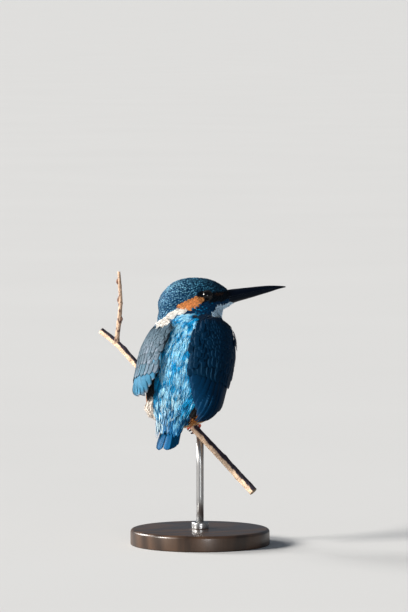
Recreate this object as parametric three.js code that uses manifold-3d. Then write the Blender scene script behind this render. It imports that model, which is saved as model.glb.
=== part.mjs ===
// Common kingfisher (Alcedo atthis), male, life size, perched on a cut length of twig on a display stand.
// Millimetres, +Z up. The origin is the centre of the stand's underside.
// The bird's back is towards -Y and a little towards -X, and its head is turned to its own right, so the bill points along +X.
import * as THREE from "three";
import { LoftGeometry } from "three/addons/geometries/LoftGeometry.js";
import { mergeVertices } from "three/addons/utils/BufferGeometryUtils.js";
import Module from "manifold-3d";

const wasm = await Module();
wasm.setup();

const rad = THREE.MathUtils.degToRad;
const point = (x, y, z) => new THREE.Vector3(x, y, z);

// ---------------------------------------------------------------- driving dimensions

const GAP = 0.3; // left between neighbouring solids
const FINENESS = 0.05; // facets may leave the true surface by this much

const TRUNK_CENTRE = point(-8.2, -5, 110.3);
const TRUNK_YAW = 19; // degrees that the breast turns from +Y towards +X
const TRUNK_PITCH = 62; // degrees that the back stands up from level
// [along the back, half width, depth to the back, depth to the belly]
const TRUNK = [
  [-38, 6, 4.5, 2.5],
  [-35, 14, 8.5, 7],
  [-29, 21.5, 12.6, 14],
  [-20, 24.6, 16.5, 20.5],
  [-8, 26.8, 20, 26],
  [5, 27.6, 21.5, 28],
  [18, 26, 20.5, 26],
  [28, 23.2, 18, 22],
  [36, 19, 14, 16.5],
  [43, 12, 8, 9],
];

// The tail coverts, above and below the root of the tail.
const RUMP_LEAN = -6; // degrees that the rump and tail turn to the bird's left
const RUMP_BASE = 2.5; // of its centre line towards the back, at the trunk's centre line
const RUMP = [
  [-20, 11.5, 9, 7],
  [-28, 11.5, 9, 7.5],
  [-35, 10.9, 7.4, 6.2],
  [-40, 9.8, 5, 4.6],
  [-44, 8.8, 2.9, 3.2],
  [-46.5, 8, 1.9, 2.4],
];

const TAIL_ROOT = -32; // along the back
const TAIL_TIP = -56;
const TAIL_ROLL = 18; // degrees that its right side is turned up
const TAIL_HALF_WIDTH = { root: 5.8, tip: 8.4 };
const TAIL_THICKNESS = 1.7;
const TAIL_ARCH = 1.8; // the outer feathers lie this much lower than the middle pair
const TAIL_ROUNDING = 3.6; // the outer feathers are this much shorter
const TAIL_NOTCH = 1.6; // between the two middle feathers

const HEAD_CENTRE = point(-3.2, 13, 154.6);
const HEAD_YAW = 82; // degrees from +Y towards +X
const HEAD_PITCH = 6;
// [along the bill, half width, up, down]
const HEAD = [
  [-23.2, 4, 0, 8],
  [-21.5, 7.4, 4.4, 9],
  [-18, 10.6, 8.4, 10.5],
  [-12, 12.7, 12.5, 12],
  [-4, 13.2, 14.0, 12.5],
  [4, 12.6, 13.4, 12],
  [11, 10.6, 11.5, 10.6],
  [17, 7.4, 7.9, 9.2],
  [21.5, 5.0, 3.7, 7.6],
  [25.5, 2.6, 0.6, 5.2],
];

const NECK_CENTRE = point(-6, 12, 0);
// [height, half width, towards the throat, towards the nape]
const NECK = [
  [126, 14, 17, 17],
  [136, 16.5, 20, 21],
  [142, 15.5, 20.4, 22],
  [148, 14, 21.4, 20.5],
  [153, 12.5, 22.2, 18.5],
  [158, 8.5, 14, 13],
];

// [along the bill, half width, culmen, where the mandibles meet, keel], from the head's centre
const BILL = [
  [14, 4.4, 2.4, -2.6, -4.6],
  [22, 4.3, 3.1, -1.3, -5.5],
  [28, 3.6, 3.15, -0.6, -4.5],
  [35, 2.9, 3.1, -0.1, -3.4],
  [42, 2.2, 3.05, 0.4, -2.15],
  [48, 1.6, 2.8, 0.8, -1.1],
  [54, 0.95, 2.1, 1.0, 0.1],
  [58.4, 0.3, 1.3, 0.95, 0.6],
];

const EYE_RADIUS = 3.8;
const EYE_AT = { along: 6.4, side: 8.7, up: 1.9 };

// [along the back, angle of the inner edge from the back, angle of the outer edge, height over the trunk]
const WING_RIGHT = [
  [34, 54, 78, 1.6],
  [30, 34, 96, 3],
  [24, 18, 106, 3],
  [12, 15, 106, 2.4],
  [-2, 19, 95, 2],
  [-14, 23, 88, 3],
  [-22, 26, 83, 4.8],
  [-28, 29, 80, 5.8],
  [-33, 36, 78, 8.6],
  [-37, 50, 74, 11.8],
  [-39, 58, 68, 13.2],
];
const WING_LEFT = [
  [34, 54, 78, 0.9],
  [30, 36, 96, 1.9],
  [24, 15, 106, 2.9],
  [12, 18, 106, 4.6],
  [-2, 22, 100, 5.4],
  [-11, 23, 90, 7],
  [-18, 28, 76, 9.2],
  [-23, 34, 60, 10.2],
  [-25, 40, 50, 10],
];
const WING_THICKNESS = 2.2; // where it stands clear of the trunk
const QUILLS_FROM = -4; // along the back: the coverts end here and the quills show

const PERCH_RADIUS = { upper: 2.1, lower: 2.8 };
const PERCH = [
  point(-63, 29, 133.2),
  point(-52.5, 24.4, 125.1),
  point(-44.1, 20.5, 116.5),
  point(-25.2, 11.5, 96.4),
  point(-4.4, 1.8, 74.4),
  point(13, -6.2, 56.5),
  point(33.6, -15.7, 35),
];
const SHOOT_RADIUS = { foot: 1.7, top: 1.0 };
const SHOOT = [
  point(-53.2, 24.6, 125.4),
  point(-52.6, 24.4, 130),
  point(-51.3, 24.6, 140.4),
  point(-50.5, 25, 150.5),
  point(-50.9, 25.2, 162),
  point(-51.6, 25.4, 171),
];

const LEG_AT = { left: -17.5, right: -4.5 }; // X of each foot on the perch
const TARSUS_RADIUS = 1.15;
const TARSUS_LENGTH = 8;
const TOE_RADIUS = 0.95;
// Front toes go forward over the perch and the hind toe goes back. [name, sideways on the perch, first angle, last angle]
const TOES = [
  ["inner", -2.2, 14, 150],
  ["middle", 0, 14, 158],
  ["outer", 2.2, 14, 168],
  ["hind", -0.8, -16, -130],
];
const CLAW_ARC = 42; // degrees that a claw goes on round the perch

const STAND = { baseRadius: 44, baseHeight: 10, edge: 2, rodRadius: 2.3, collarRadius: 5.5, collarHeight: 4 };

// ---------------------------------------------------------------- materials

const finish = (color, roughness, metalness = 0) => new THREE.MeshStandardMaterial({ color, roughness, metalness });
const MATERIALS = {
  crown: finish(0x1d5f8f, 0.55),
  back: finish(0x1b86d0, 0.45),
  breast: finish(0xc8702c, 0.7),
  wing: finish(0x0f4f7c, 0.5),
  quills: finish(0x0d3a63, 0.5),
  tail: finish(0x14488a, 0.45),
  bill: finish(0x14161c, 0.35),
  eye: finish(0x0c0806, 0.08),
  foot: finish(0xc23a1d, 0.5),
  claw: finish(0x241a18, 0.4),
  bark: finish(0x8a6a4c, 0.85),
  wood: finish(0x2b211b, 0.4),
  rod: finish(0x9a9ca0, 0.3, 1),
};

// ---------------------------------------------------------------- shaping

// A smooth curve through rows of numbers: given the first column's value, it returns the others.
function through(rows) {
  const sorted = [...rows].sort((p, q) => p[0] - q[0]);
  const slope = (i, c) => {
    const before = sorted[Math.max(i - 1, 0)];
    const after = sorted[Math.min(i + 1, sorted.length - 1)];
    return (after[c] - before[c]) / (after[0] - before[0]);
  };
  return (t) => {
    let i = 0;
    while (i < sorted.length - 2 && t > sorted[i + 1][0]) i++;
    const step = sorted[i + 1][0] - sorted[i][0];
    const s = Math.min(Math.max((t - sorted[i][0]) / step, 0), 1);
    return sorted[i].slice(1).map((low, k) => {
      const c = k + 1;
      const high = sorted[i + 1][c];
      const rise = 3 * s * s - 2 * s * s * s;
      const leave = s * (1 - s) * (1 - s) * step * slope(i, c);
      const arrive = s * s * (s - 1) * step * slope(i + 1, c);
      return low + (high - low) * rise + leave + arrive;
    });
  };
}

// A body's own axes: along, to its right and up (or towards its back).
function axes(origin, yaw, pitch, turned = 0) {
  const level = point(Math.sin(rad(yaw)), Math.cos(rad(yaw)), 0);
  const along = level.clone().multiplyScalar(Math.cos(rad(pitch))).add(point(0, 0, Math.sin(rad(pitch))));
  const right = new THREE.Vector3().crossVectors(along, point(0, 0, 1)).normalize();
  const up = new THREE.Vector3().crossVectors(right, along).normalize();
  along.applyAxisAngle(up, rad(turned));
  right.applyAxisAngle(up, rad(turned));
  return { origin, along, right, up };
}

function at(frame, right, up, along) {
  return frame.origin
    .clone()
    .addScaledVector(frame.right, right)
    .addScaledVector(frame.up, up)
    .addScaledVector(frame.along, along);
}

const range = (count) => Array.from({ length: count }, (_, i) => i);
const between = (low, high, s) => low + (high - low) * s;

// One ring of an oval whose two halves have depths of their own.
function oval(frame, along, width, up, down, sides) {
  return range(sides).map((k) => {
    const angle = (2 * Math.PI * k) / sides;
    const depth = Math.cos(angle) > 0 ? up : down;
    return at(frame, width * Math.sin(angle), depth * Math.cos(angle), along);
  });
}

// A capped loft through rings of points, whichever way round they are wound.
function closedLoft(rings) {
  const centreOf = (ring) => ring.reduce((sum, p) => sum.add(p), point(0, 0, 0)).divideScalar(ring.length);
  const middle = Math.floor(rings.length / 2);
  const here = centreOf(rings[middle]);
  const onward = centreOf(rings[middle - 1]).sub(here).negate();
  const winding = rings[middle].reduce((sum, p, i, ring) => {
    const next = ring[(i + 1) % ring.length].clone().sub(here);
    return sum.add(p.clone().sub(here).cross(next));
  }, point(0, 0, 0));
  const wound = winding.dot(onward) > 0 ? rings : rings.map((ring) => ring.toReversed());
  return new LoftGeometry(wound, { closed: true, capStart: true, capEnd: true });
}

// Ovals through a table of sizes. grow swells it all round.
function body(frame, table, steps, sides, grow = 0) {
  const size = through(table);
  const [first, last] = [table[0][0], table.at(-1)[0]];
  const rings = range(steps + 1).map((i) => {
    const t = between(first, last, i / steps);
    const end = i === 0 ? -grow : i === steps ? grow : 0;
    const [width, up, down] = size(t);
    return oval(frame, t + end * Math.sign(last - first), width + grow, up + grow, down + grow, sides);
  });
  return solid(closedLoft(rings));
}

// A closed geometry as a solid with its faces out.
function solid(geometry) {
  const bare = geometry.index ? geometry.toNonIndexed() : geometry.clone();
  bare.deleteAttribute("normal");
  bare.deleteAttribute("uv");
  const merged = mergeVertices(bare, 1e-3);
  const vertProperties = merged.getAttribute("position").array;
  const triVerts = new Uint32Array(merged.index.array);
  const made = new wasm.Manifold(new wasm.Mesh({ numProp: 3, vertProperties, triVerts }));
  if (made.volume() > 0) return made;
  return new wasm.Manifold(new wasm.Mesh({ numProp: 3, vertProperties, triVerts: triVerts.toReversed() }));
}

// The largest single piece of a solid.
const largest = (made) => made.decompose().sort((p, q) => q.volume() - p.volume())[0];

// The part of a solid on one side of a plane, less half the gap.
function cutOff(made, origin, normal, side) {
  const facing = normal.clone().multiplyScalar(side);
  return made.trimByPlane(facing.toArray(), facing.dot(origin) + GAP / 2);
}

// A tapering tube along a smooth curve through points.
function tube(points, radiusFrom, radiusTo, steps, sides, grow = 0) {
  const curve = new THREE.CatmullRomCurve3(points);
  const frames = curve.computeFrenetFrames(steps, false);
  const rings = range(steps + 1).map((i) => {
    const beyond = i === 0 ? -grow : i === steps ? grow : 0;
    const centre = curve.getPointAt(i / steps).addScaledVector(frames.tangents[i], beyond);
    const radius = between(radiusFrom, radiusTo, i / steps) + grow;
    return range(sides).map((k) => {
      const angle = (2 * Math.PI * k) / sides;
      return centre
        .clone()
        .addScaledVector(frames.normals[i], radius * Math.cos(angle))
        .addScaledVector(frames.binormals[i], radius * Math.sin(angle));
    });
  });
  return solid(closedLoft(rings));
}

const group = new THREE.Group();

function add(name, made, material) {
  const { vertProperties, numProp, triVerts, numVert } = made.simplify(FINENESS).getMesh();
  const position = new Float32Array(numVert * 3);
  for (let i = 0; i < numVert; i++) position.set(vertProperties.subarray(i * numProp, i * numProp + 3), i * 3);
  const geometry = new THREE.BufferGeometry();
  geometry.setAttribute("position", new THREE.BufferAttribute(position, 3));
  geometry.setIndex(new THREE.BufferAttribute(triVerts, 1));
  geometry.computeVertexNormals();
  const mesh = new THREE.Mesh(geometry, material);
  mesh.name = name;
  group.add(mesh);
}

// ---------------------------------------------------------------- perch

const perch = tube(PERCH, PERCH_RADIUS.upper, PERCH_RADIUS.lower, 18, 10);
const perchGrown = tube(PERCH, PERCH_RADIUS.upper, PERCH_RADIUS.lower, 18, 10, GAP);
const perchCurve = new THREE.CatmullRomCurve3(PERCH);
const shoot = tube(SHOOT, SHOOT_RADIUS.foot, SHOOT_RADIUS.top, 16, 8);

// The perch's own axes where it passes a given X: along it, and up and forward square to it.
function perchAt(x) {
  const samples = 400;
  const s = range(samples + 1)
    .map((i) => i / samples)
    .find((u) => perchCurve.getPointAt(u).x >= x);
  const along = perchCurve.getTangentAt(s);
  const forward = new THREE.Vector3().crossVectors(point(0, 0, 1), along).normalize();
  const up = new THREE.Vector3().crossVectors(along, forward).normalize();
  const radius = between(PERCH_RADIUS.upper, PERCH_RADIUS.lower, s);
  return { origin: perchCurve.getPointAt(s), along, right: forward, up, radius };
}

// ---------------------------------------------------------------- head, neck, trunk and rump, made whole and then parted

const trunkFrame = axes(TRUNK_CENTRE, TRUNK_YAW, TRUNK_PITCH);
const rumpFrame = axes(TRUNK_CENTRE, TRUNK_YAW, TRUNK_PITCH, RUMP_LEAN);
rumpFrame.origin = at(trunkFrame, 0, RUMP_BASE, 0);
const tailFrame = {
  ...rumpFrame,
  right: rumpFrame.right.clone().applyAxisAngle(rumpFrame.along, rad(-TAIL_ROLL)),
  up: rumpFrame.up.clone().applyAxisAngle(rumpFrame.along, rad(-TAIL_ROLL)),
};
const headFrame = axes(HEAD_CENTRE, HEAD_YAW, HEAD_PITCH);
const levelHead = axes(HEAD_CENTRE, HEAD_YAW, 0);
const neckFrame = { origin: NECK_CENTRE, along: point(0, 0, 1), right: levelHead.right, up: levelHead.along };

const trunkWhole = body(trunkFrame, TRUNK, 16, 26);
const whole = trunkWhole
  .add(body(tailFrame, RUMP, 7, 16))
  .add(body(neckFrame, NECK, 5, 22))
  .add(body(headFrame, HEAD, 12, 22));

const HEAD_CUT = { origin: point(-6, 12, 147), normal: point(-0.3, 0, 1).normalize() };
const NECK_CUT = { origin: at(trunkFrame, 0, 0, 31), normal: trunkFrame.along };
const RUMP_CUT = { origin: at(trunkFrame, 0, 0, -31), normal: trunkFrame.along };

const headPart = cutOff(whole, HEAD_CUT.origin, HEAD_CUT.normal, 1);
const belowHead = cutOff(whole, HEAD_CUT.origin, HEAD_CUT.normal, -1);
const neckPart = cutOff(belowHead, NECK_CUT.origin, NECK_CUT.normal, 1);
const belowNeck = cutOff(belowHead, NECK_CUT.origin, NECK_CUT.normal, -1);
const trunkPart = cutOff(belowNeck, RUMP_CUT.origin, RUMP_CUT.normal, 1);
const rumpPart = cutOff(belowNeck, RUMP_CUT.origin, RUMP_CUT.normal, -1);

// ---------------------------------------------------------------- bill and eyes

// One mandible: an arch between its outer line and the flat where the two meet.
function mandible(outer, grow = 0) {
  const size = through(BILL);
  const [first, last] = [BILL[0][0], BILL.at(-1)[0]];
  const steps = 14;
  const sides = 9;
  const rings = range(steps + 1).map((i) => {
    const along = between(first, last, i / steps);
    const sizes = size(along);
    const meet = sizes[2] + (outer === 1 ? GAP / 2 - grow : -GAP / 2 + grow);
    const width = sizes[0] + grow;
    const depth = Math.max(Math.abs(sizes[outer] - meet) + grow, 0.12);
    const side = outer === 1 ? 1 : -1;
    return range(sides).map((k) => {
      const angle = between(-Math.PI / 2, Math.PI / 2, k / (sides - 1));
      return at(headFrame, width * Math.sin(angle), meet + Math.cos(angle) * depth * side, i ? along + grow : along - grow);
    });
  });
  return solid(closedLoft(rings));
}
const CULMEN = 1;
const KEEL = 3;

const eyeGeometry = (side, grow = 0) =>
  new THREE.SphereGeometry(EYE_RADIUS + grow, 12, 9).translate(
    ...at(headFrame, side * EYE_AT.side, EYE_AT.up, EYE_AT.along).toArray(),
  );

let head = headPart.subtract(mandible(CULMEN, GAP)).subtract(mandible(KEEL, GAP));
for (const side of [-1, 1]) head = head.subtract(solid(eyeGeometry(side, GAP)));
add("head", largest(head), MATERIALS.crown);
add("bill_upper", mandible(CULMEN), MATERIALS.bill);
add("bill_lower", mandible(KEEL), MATERIALS.bill);
add("eye_left", solid(eyeGeometry(-1)), MATERIALS.eye);
add("eye_right", solid(eyeGeometry(1)), MATERIALS.eye);
const neck = neckPart.subtract(mandible(CULMEN, GAP)).subtract(mandible(KEEL, GAP));
add("neck", largest(neck), MATERIALS.crown);

// ---------------------------------------------------------------- legs and feet

const clearOfFeet = [];
for (const side of ["left", "right"]) {
  const foot = perchAt(LEG_AT[side]);
  const reach = foot.radius + TOE_RADIUS + GAP;
  const onPerch = (angle, sideways, out = reach) =>
    at(foot, out * Math.sin(rad(angle)), out * Math.cos(rad(angle)), sideways);
  for (const [name, sideways, from, to] of TOES) {
    const turn = Math.sign(to - from);
    const toePoints = range(5).map((i) => onPerch(between(from, to, i / 4), sideways));
    const toe = tube(toePoints, TOE_RADIUS, TOE_RADIUS * 0.8, 6, 7);
    add(`toe_${side}_${name}`, toe, MATERIALS.foot);
    clearOfFeet.push(tube(toePoints, TOE_RADIUS, TOE_RADIUS * 0.8, 6, 7, GAP));
    const clawStart = to + turn * 7;
    const clawPoints = range(4).map((i) => {
      const angle = between(clawStart, clawStart + turn * CLAW_ARC, i / 3);
      return onPerch(angle, sideways, reach - 0.25);
    });
    add(`claw_${side}_${name}`, tube(clawPoints, TOE_RADIUS * 0.62, 0.16, 4, 5), MATERIALS.claw);
    clearOfFeet.push(tube(clawPoints, TOE_RADIUS * 0.62, 0.16, 4, 5, GAP));
  }
  const ankle = onPerch(0, 0, reach + TOE_RADIUS + GAP + TARSUS_LENGTH);
  const heel = onPerch(0, 0, reach + TOE_RADIUS + GAP);
  const towardsBelly = at(trunkFrame, side === "left" ? -7 : 7, -8, -18);
  const knee = heel.clone().lerp(ankle, 0.45);
  const thighTop = knee.clone().lerp(towardsBelly, 0.55);
  const tarsus = [heel, knee, thighTop];
  add(`tarsus_${side}`, tube(tarsus, TARSUS_RADIUS, TARSUS_RADIUS * 1.25, 6, 8), MATERIALS.foot);
  clearOfFeet.push(tube(tarsus, TARSUS_RADIUS, TARSUS_RADIUS * 1.25, 6, 8, GAP));
}

// ---------------------------------------------------------------- wings and tail

const trunkSize = through(TRUNK);

// A point over the trunk: lift is its height above the trunk's surface, side is 1 for the right.
function overTrunk(along, angle, lift, side) {
  const [width, up, down] = trunkSize(along);
  const depth = Math.cos(rad(angle)) > 0 ? up : down;
  return at(
    trunkFrame,
    side * (width + lift) * Math.sin(rad(angle)),
    (depth + lift) * Math.cos(rad(angle)),
    along,
  );
}

// A folded wing is a curved shell over the trunk, thin along both edges.
function wing(table, side) {
  const size = through(table);
  const [first, last] = [table[0][0], table.at(-1)[0]];
  const steps = 15;
  const across = 8;
  const rings = range(steps + 1).map((i) => {
    const along = between(first, last, i / steps);
    const [inner, outer, lift] = size(along);
    const face = (k, height) => overTrunk(along, between(inner, outer, k / (across - 1)), height, side);
    const crown = (k) => 0.35 + 0.65 * Math.sin((Math.PI * k) / (across - 1)) ** 0.6;
    const top = range(across).map((k) => face(k, lift * (0.55 + 0.45 * crown(k))));
    const bottom = range(across).map((k) => face(k, Math.max(lift * 0.55 - WING_THICKNESS * crown(k), -1.2)));
    return [...top, ...bottom.reverse()];
  });
  return solid(closedLoft(rings));
}

const bodyGrown = body(trunkFrame, TRUNK, 16, 26, GAP)
  .add(body(tailFrame, RUMP, 7, 16, GAP))
  .add(body(neckFrame, NECK, 5, 22, GAP))
  .add(body(headFrame, HEAD, 12, 22, GAP));
for (const [side, sign, table] of [
  ["left", -1, WING_LEFT],
  ["right", 1, WING_RIGHT],
]) {
  const folded = largest(wing(table, sign).subtract(bodyGrown).subtract(perchGrown));
  const quillCut = at(trunkFrame, 0, 0, QUILLS_FROM);
  add(`wing_${side}`, largest(cutOff(folded, quillCut, trunkFrame.along, 1)), MATERIALS.wing);
  add(`wing_${side}_quills`, largest(cutOff(folded, quillCut, trunkFrame.along, -1)), MATERIALS.quills);
}

// The tail is a thin arched fan whose end is two rounded lobes.
function tail(grow = 0) {
  const across = 15;
  const steps = 5;
  const rings = range(steps + 1).map((i) => {
    const s = i / steps;
    const width = between(TAIL_HALF_WIDTH.root, TAIL_HALF_WIDTH.tip, Math.sqrt(s)) + grow;
    const line = (face) =>
      range(across).map((k) => {
        const u = between(-1, 1, k / (across - 1));
        const shorter = TAIL_NOTCH * Math.exp(-((u / 0.1) ** 2)) + TAIL_ROUNDING * Math.abs(u) ** 3;
        const tip = TAIL_TIP + shorter - grow;
        const thickness = TAIL_THICKNESS * (0.35 + 0.65 * Math.sqrt(1 - 0.96 * u * u));
        const height = face * (thickness / 2 + grow) - TAIL_ARCH * u * u;
        return at(tailFrame, u * width, height, between(TAIL_ROOT + grow, tip, s));
      });
    return [...line(1), ...line(-1).reverse()];
  });
  return solid(closedLoft(rings));
}
const rump = largest(rumpPart.subtract(tail(GAP)).subtract(perchGrown));
add("tail", tail(), MATERIALS.tail);

// ---------------------------------------------------------------- trunk and rump, clear of the perch and the feet

let trunk = trunkPart.subtract(perchGrown);
let rumpClear = rump;
for (const foot of clearOfFeet) {
  trunk = trunk.subtract(foot);
  rumpClear = rumpClear.subtract(foot);
}
add("trunk", largest(trunk), MATERIALS.breast);
add("rump", largest(rumpClear), MATERIALS.back);

// ---------------------------------------------------------------- perch and stand

add("perch_branch", perch, MATERIALS.bark);
add("perch_shoot", largest(shoot.subtract(perchGrown)), MATERIALS.bark);

const baseProfile = [
  new THREE.Vector2(0, 0),
  new THREE.Vector2(STAND.baseRadius, 0),
  new THREE.Vector2(STAND.baseRadius, STAND.baseHeight - STAND.edge),
  new THREE.Vector2(STAND.baseRadius - STAND.edge * 0.3, STAND.baseHeight - STAND.edge * 0.3),
  new THREE.Vector2(STAND.baseRadius - STAND.edge, STAND.baseHeight),
  new THREE.Vector2(0, STAND.baseHeight),
];
const base = solid(new THREE.LatheGeometry(baseProfile, 36).rotateX(Math.PI / 2));
const upright = (radius, from, to) =>
  solid(new THREE.CylinderGeometry(radius, radius, to - from, 16).rotateX(Math.PI / 2).translate(0, 0, (from + to) / 2));
const rodTop = perchAt(0).origin.z;
const rod = upright(STAND.rodRadius, STAND.baseHeight + GAP, rodTop).subtract(perchGrown);
const collar = upright(STAND.collarRadius, STAND.baseHeight + GAP, STAND.baseHeight + GAP + STAND.collarHeight);
const rodHole = upright(STAND.rodRadius + GAP, 0, rodTop);
add("stand_base", base, MATERIALS.wood);
add("stand_collar", collar.subtract(rodHole), MATERIALS.rod);
add("stand_rod", largest(rod), MATERIALS.rod);

export default group;
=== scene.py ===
"""Common kingfisher, a life-size still model on a twig and a display stand.

Every shape is worked out in millimetres with numpy and put into its mesh in metres.
"""

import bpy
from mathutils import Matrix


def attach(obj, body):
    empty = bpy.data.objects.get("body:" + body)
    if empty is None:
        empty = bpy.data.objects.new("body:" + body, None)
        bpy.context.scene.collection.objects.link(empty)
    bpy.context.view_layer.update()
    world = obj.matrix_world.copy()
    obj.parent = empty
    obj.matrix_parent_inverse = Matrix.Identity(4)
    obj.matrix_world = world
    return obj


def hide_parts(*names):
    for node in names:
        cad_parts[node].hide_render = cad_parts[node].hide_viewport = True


bl_info = {
    "name": "Common Kingfisher",
    "version": (1, 0, 0),
    "blender": (4, 5, 0),
    "location": "3D View > Sidebar > Kingfisher",
    "description": "A feathered life-size kingfisher on its twig and display stand",
    "category": "Add Mesh",
}

import math

import bpy
import numpy as np
from mathutils import Vector
from mathutils.bvhtree import BVHTree
from mathutils.kdtree import KDTree

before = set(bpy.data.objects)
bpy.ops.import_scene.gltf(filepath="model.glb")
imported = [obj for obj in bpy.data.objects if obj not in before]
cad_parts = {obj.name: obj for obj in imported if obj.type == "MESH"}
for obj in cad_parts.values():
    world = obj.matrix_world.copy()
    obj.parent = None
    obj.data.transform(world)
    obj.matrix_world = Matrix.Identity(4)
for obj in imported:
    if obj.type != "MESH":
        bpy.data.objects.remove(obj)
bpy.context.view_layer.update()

MM = 0.001
SEED = 20


# ------------------------------------------------------------------ shaping


def unit(vectors):
    """Each vector over its own length."""
    return vectors / np.maximum(np.linalg.norm(vectors, axis=-1, keepdims=True), 1e-9)


def smooth(low, high, value):
    """0 below low, 1 above high, and 3s^2 - 2s^3 between."""
    s = np.clip((value - low) / (high - low), 0.0, 1.0)
    return s * s * (3.0 - 2.0 * s)


def mix(a, b, share):
    """a at a share of 0 and b at 1."""
    return a + (b - a) * share


def through(rows):
    """A smooth curve through rows of numbers: the first column's value gives the others.

    Each step is a cubic whose slope at a row is that of the line between the rows on either side.
    """
    table = np.array(sorted(rows), float)
    x, y = table[:, 0], table[:, 1:]
    before = np.maximum(np.arange(len(x)) - 1, 0)
    after = np.minimum(np.arange(len(x)) + 1, len(x) - 1)
    slope = (y[after] - y[before]) / (x[after] - x[before])[:, None]

    def at(value):
        value = np.clip(np.asarray(value, float), x[0], x[-1])
        i = np.clip(np.searchsorted(x, value, side="right") - 1, 0, len(x) - 2)
        step = (x[i + 1] - x[i])[..., None]
        s = (value - x[i])[..., None] / step
        rise = s * s * (3.0 - 2.0 * s)
        leave = s * (1.0 - s) ** 2 * step * slope[i]
        arrive = s * s * (s - 1.0) * step * slope[i + 1]
        return mix(y[i], y[i + 1], rise) + leave + arrive

    return at


def turn(vectors, axis, angle):
    """Vectors turned about a unit axis: v cos + (axis x v) sin + axis (axis . v)(1 - cos)."""
    cos, sin = np.cos(angle)[..., None], np.sin(angle)[..., None]
    along = np.sum(axis * vectors, axis=-1, keepdims=True)
    return vectors * cos + np.cross(axis, vectors) * sin + axis * along * (1.0 - cos)


class Axes:
    """A body's own axes: right, up (or towards its back) and along."""

    def __init__(self, origin, yaw, pitch, turned=0.0, rolled=0.0):
        yaw, pitch = math.radians(yaw), math.radians(pitch)
        level = np.array([math.sin(yaw), math.cos(yaw), 0.0])
        self.origin = np.array(origin, float)
        self.along = level * math.cos(pitch) + np.array([0.0, 0.0, math.sin(pitch)])
        self.right = unit(np.cross(self.along, [0.0, 0.0, 1.0]))
        self.up = np.cross(self.right, self.along)
        angle = np.float64(math.radians(turned))
        self.along, self.right = turn(self.along, self.up, angle), turn(self.right, self.up, angle)
        angle = np.float64(math.radians(-rolled))
        self.right, self.up = turn(self.right, self.along, angle), turn(self.up, self.along, angle)

    def out(self, right, up, along):
        """The points at these distances along the three axes."""
        right, up, along = np.broadcast_arrays(right, up, along)
        return (
            self.origin
            + right[..., None] * self.right
            + up[..., None] * self.up
            + along[..., None] * self.along
        )

    def into(self, points):
        """The distances of points along the three axes."""
        offset = points - self.origin
        return offset @ self.right, offset @ self.up, offset @ self.along


def ovals(axes, rows, steps, sides, inset=0.0):
    """Rings of ovals with one depth above and another below, less the inset all round."""
    t = np.linspace(rows[0][0], rows[-1][0], steps + 1)
    size = through(rows)(t) - inset
    angle = np.arange(sides) * 2.0 * np.pi / sides
    depth = np.where(np.cos(angle) > 0.0, size[:, 1:2], size[:, 2:3])
    return axes.out(size[:, :1] * np.sin(angle), depth * np.cos(angle), t[:, None] + 0.0 * angle)


def closed(rings):
    """Points and faces of a grid of rings (m, n, 3), closed by a fan at each end."""
    m, n = rings.shape[:2]
    points = np.concatenate([rings.reshape(-1, 3), rings[:1].mean(axis=1), rings[-1:].mean(axis=1)])
    i, j = np.meshgrid(np.arange(m - 1), np.arange(n), indexing="ij")
    k = (j + 1) % n
    quads = np.stack([i * n + j, i * n + k, (i + 1) * n + k, (i + 1) * n + j], axis=-1).reshape(-1, 4)
    j = np.arange(n)
    k = (j + 1) % n
    first = np.stack([k, j, np.full(n, m * n)], axis=-1)
    last = np.stack([(m - 1) * n + j, (m - 1) * n + k, np.full(n, m * n + 1)], axis=-1)
    return facing_out(points, [quads, np.concatenate([first, last])])


def facing_out(points, faces):
    """The same faces, turned over if the volume that they close is negative."""
    volume = 0.0
    for rows in faces:
        a, b, c = points[rows[:, 0]], points[rows[:, 1]], points[rows[:, 2]]
        volume += np.sum(a * np.cross(b, c))
        if rows.shape[1] > 3:
            volume += np.sum(a * np.cross(c, points[rows[:, 3]]))
    return points, faces if volume > 0.0 else [rows[:, ::-1] for rows in faces]


def joined(parts):
    """Several points-and-faces pairs as one."""
    points, faces, start = [], [], 0
    for own_points, own_faces in parts:
        points.append(own_points)
        faces += [rows + start for rows in own_faces]
        start += len(own_points)
    return np.concatenate(points), faces


def put(name, points, faces, replaced=(), colours=None, maps=None, smooth_faces=True):
    """A mesh object from points in millimetres and a list of face arrays, riding on the body.

    colours is one colour for each point. maps gives UV maps by name, one pair for each face corner.
    """
    corners = np.concatenate([rows.reshape(-1) for rows in faces]).astype(np.int32)
    counts = np.concatenate([np.full(len(rows), rows.shape[1]) for rows in faces])
    mesh = bpy.data.meshes.new(name)
    mesh.vertices.add(len(points))
    mesh.vertices.foreach_set("co", (np.asarray(points) * MM).astype(np.float32).reshape(-1))
    mesh.loops.add(len(corners))
    mesh.loops.foreach_set("vertex_index", corners)
    mesh.polygons.add(len(counts))
    starts = np.concatenate([[0], np.cumsum(counts)[:-1]]).astype(np.int32)
    mesh.polygons.foreach_set("loop_start", starts)
    mesh.polygons.foreach_set("use_smooth", np.full(len(counts), smooth_faces))
    for title, values in (maps or {}).items():
        layer = mesh.uv_layers.new(name=title)
        layer.uv.foreach_set("vector", np.asarray(values, np.float32).reshape(-1))
    if colours is not None:
        layer = mesh.color_attributes.new("plumage", "FLOAT_COLOR", "POINT")
        rgba = np.ones((len(points), 4), np.float32)
        rgba[:, :3] = colours
        layer.data.foreach_set("color", rgba.reshape(-1))
    mesh.update(calc_edges=True)
    piece = bpy.data.objects.new(name, mesh)
    bpy.context.scene.collection.objects.link(piece)
    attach(piece, "root")
    if replaced:
        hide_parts(*replaced)
    return piece


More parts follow.
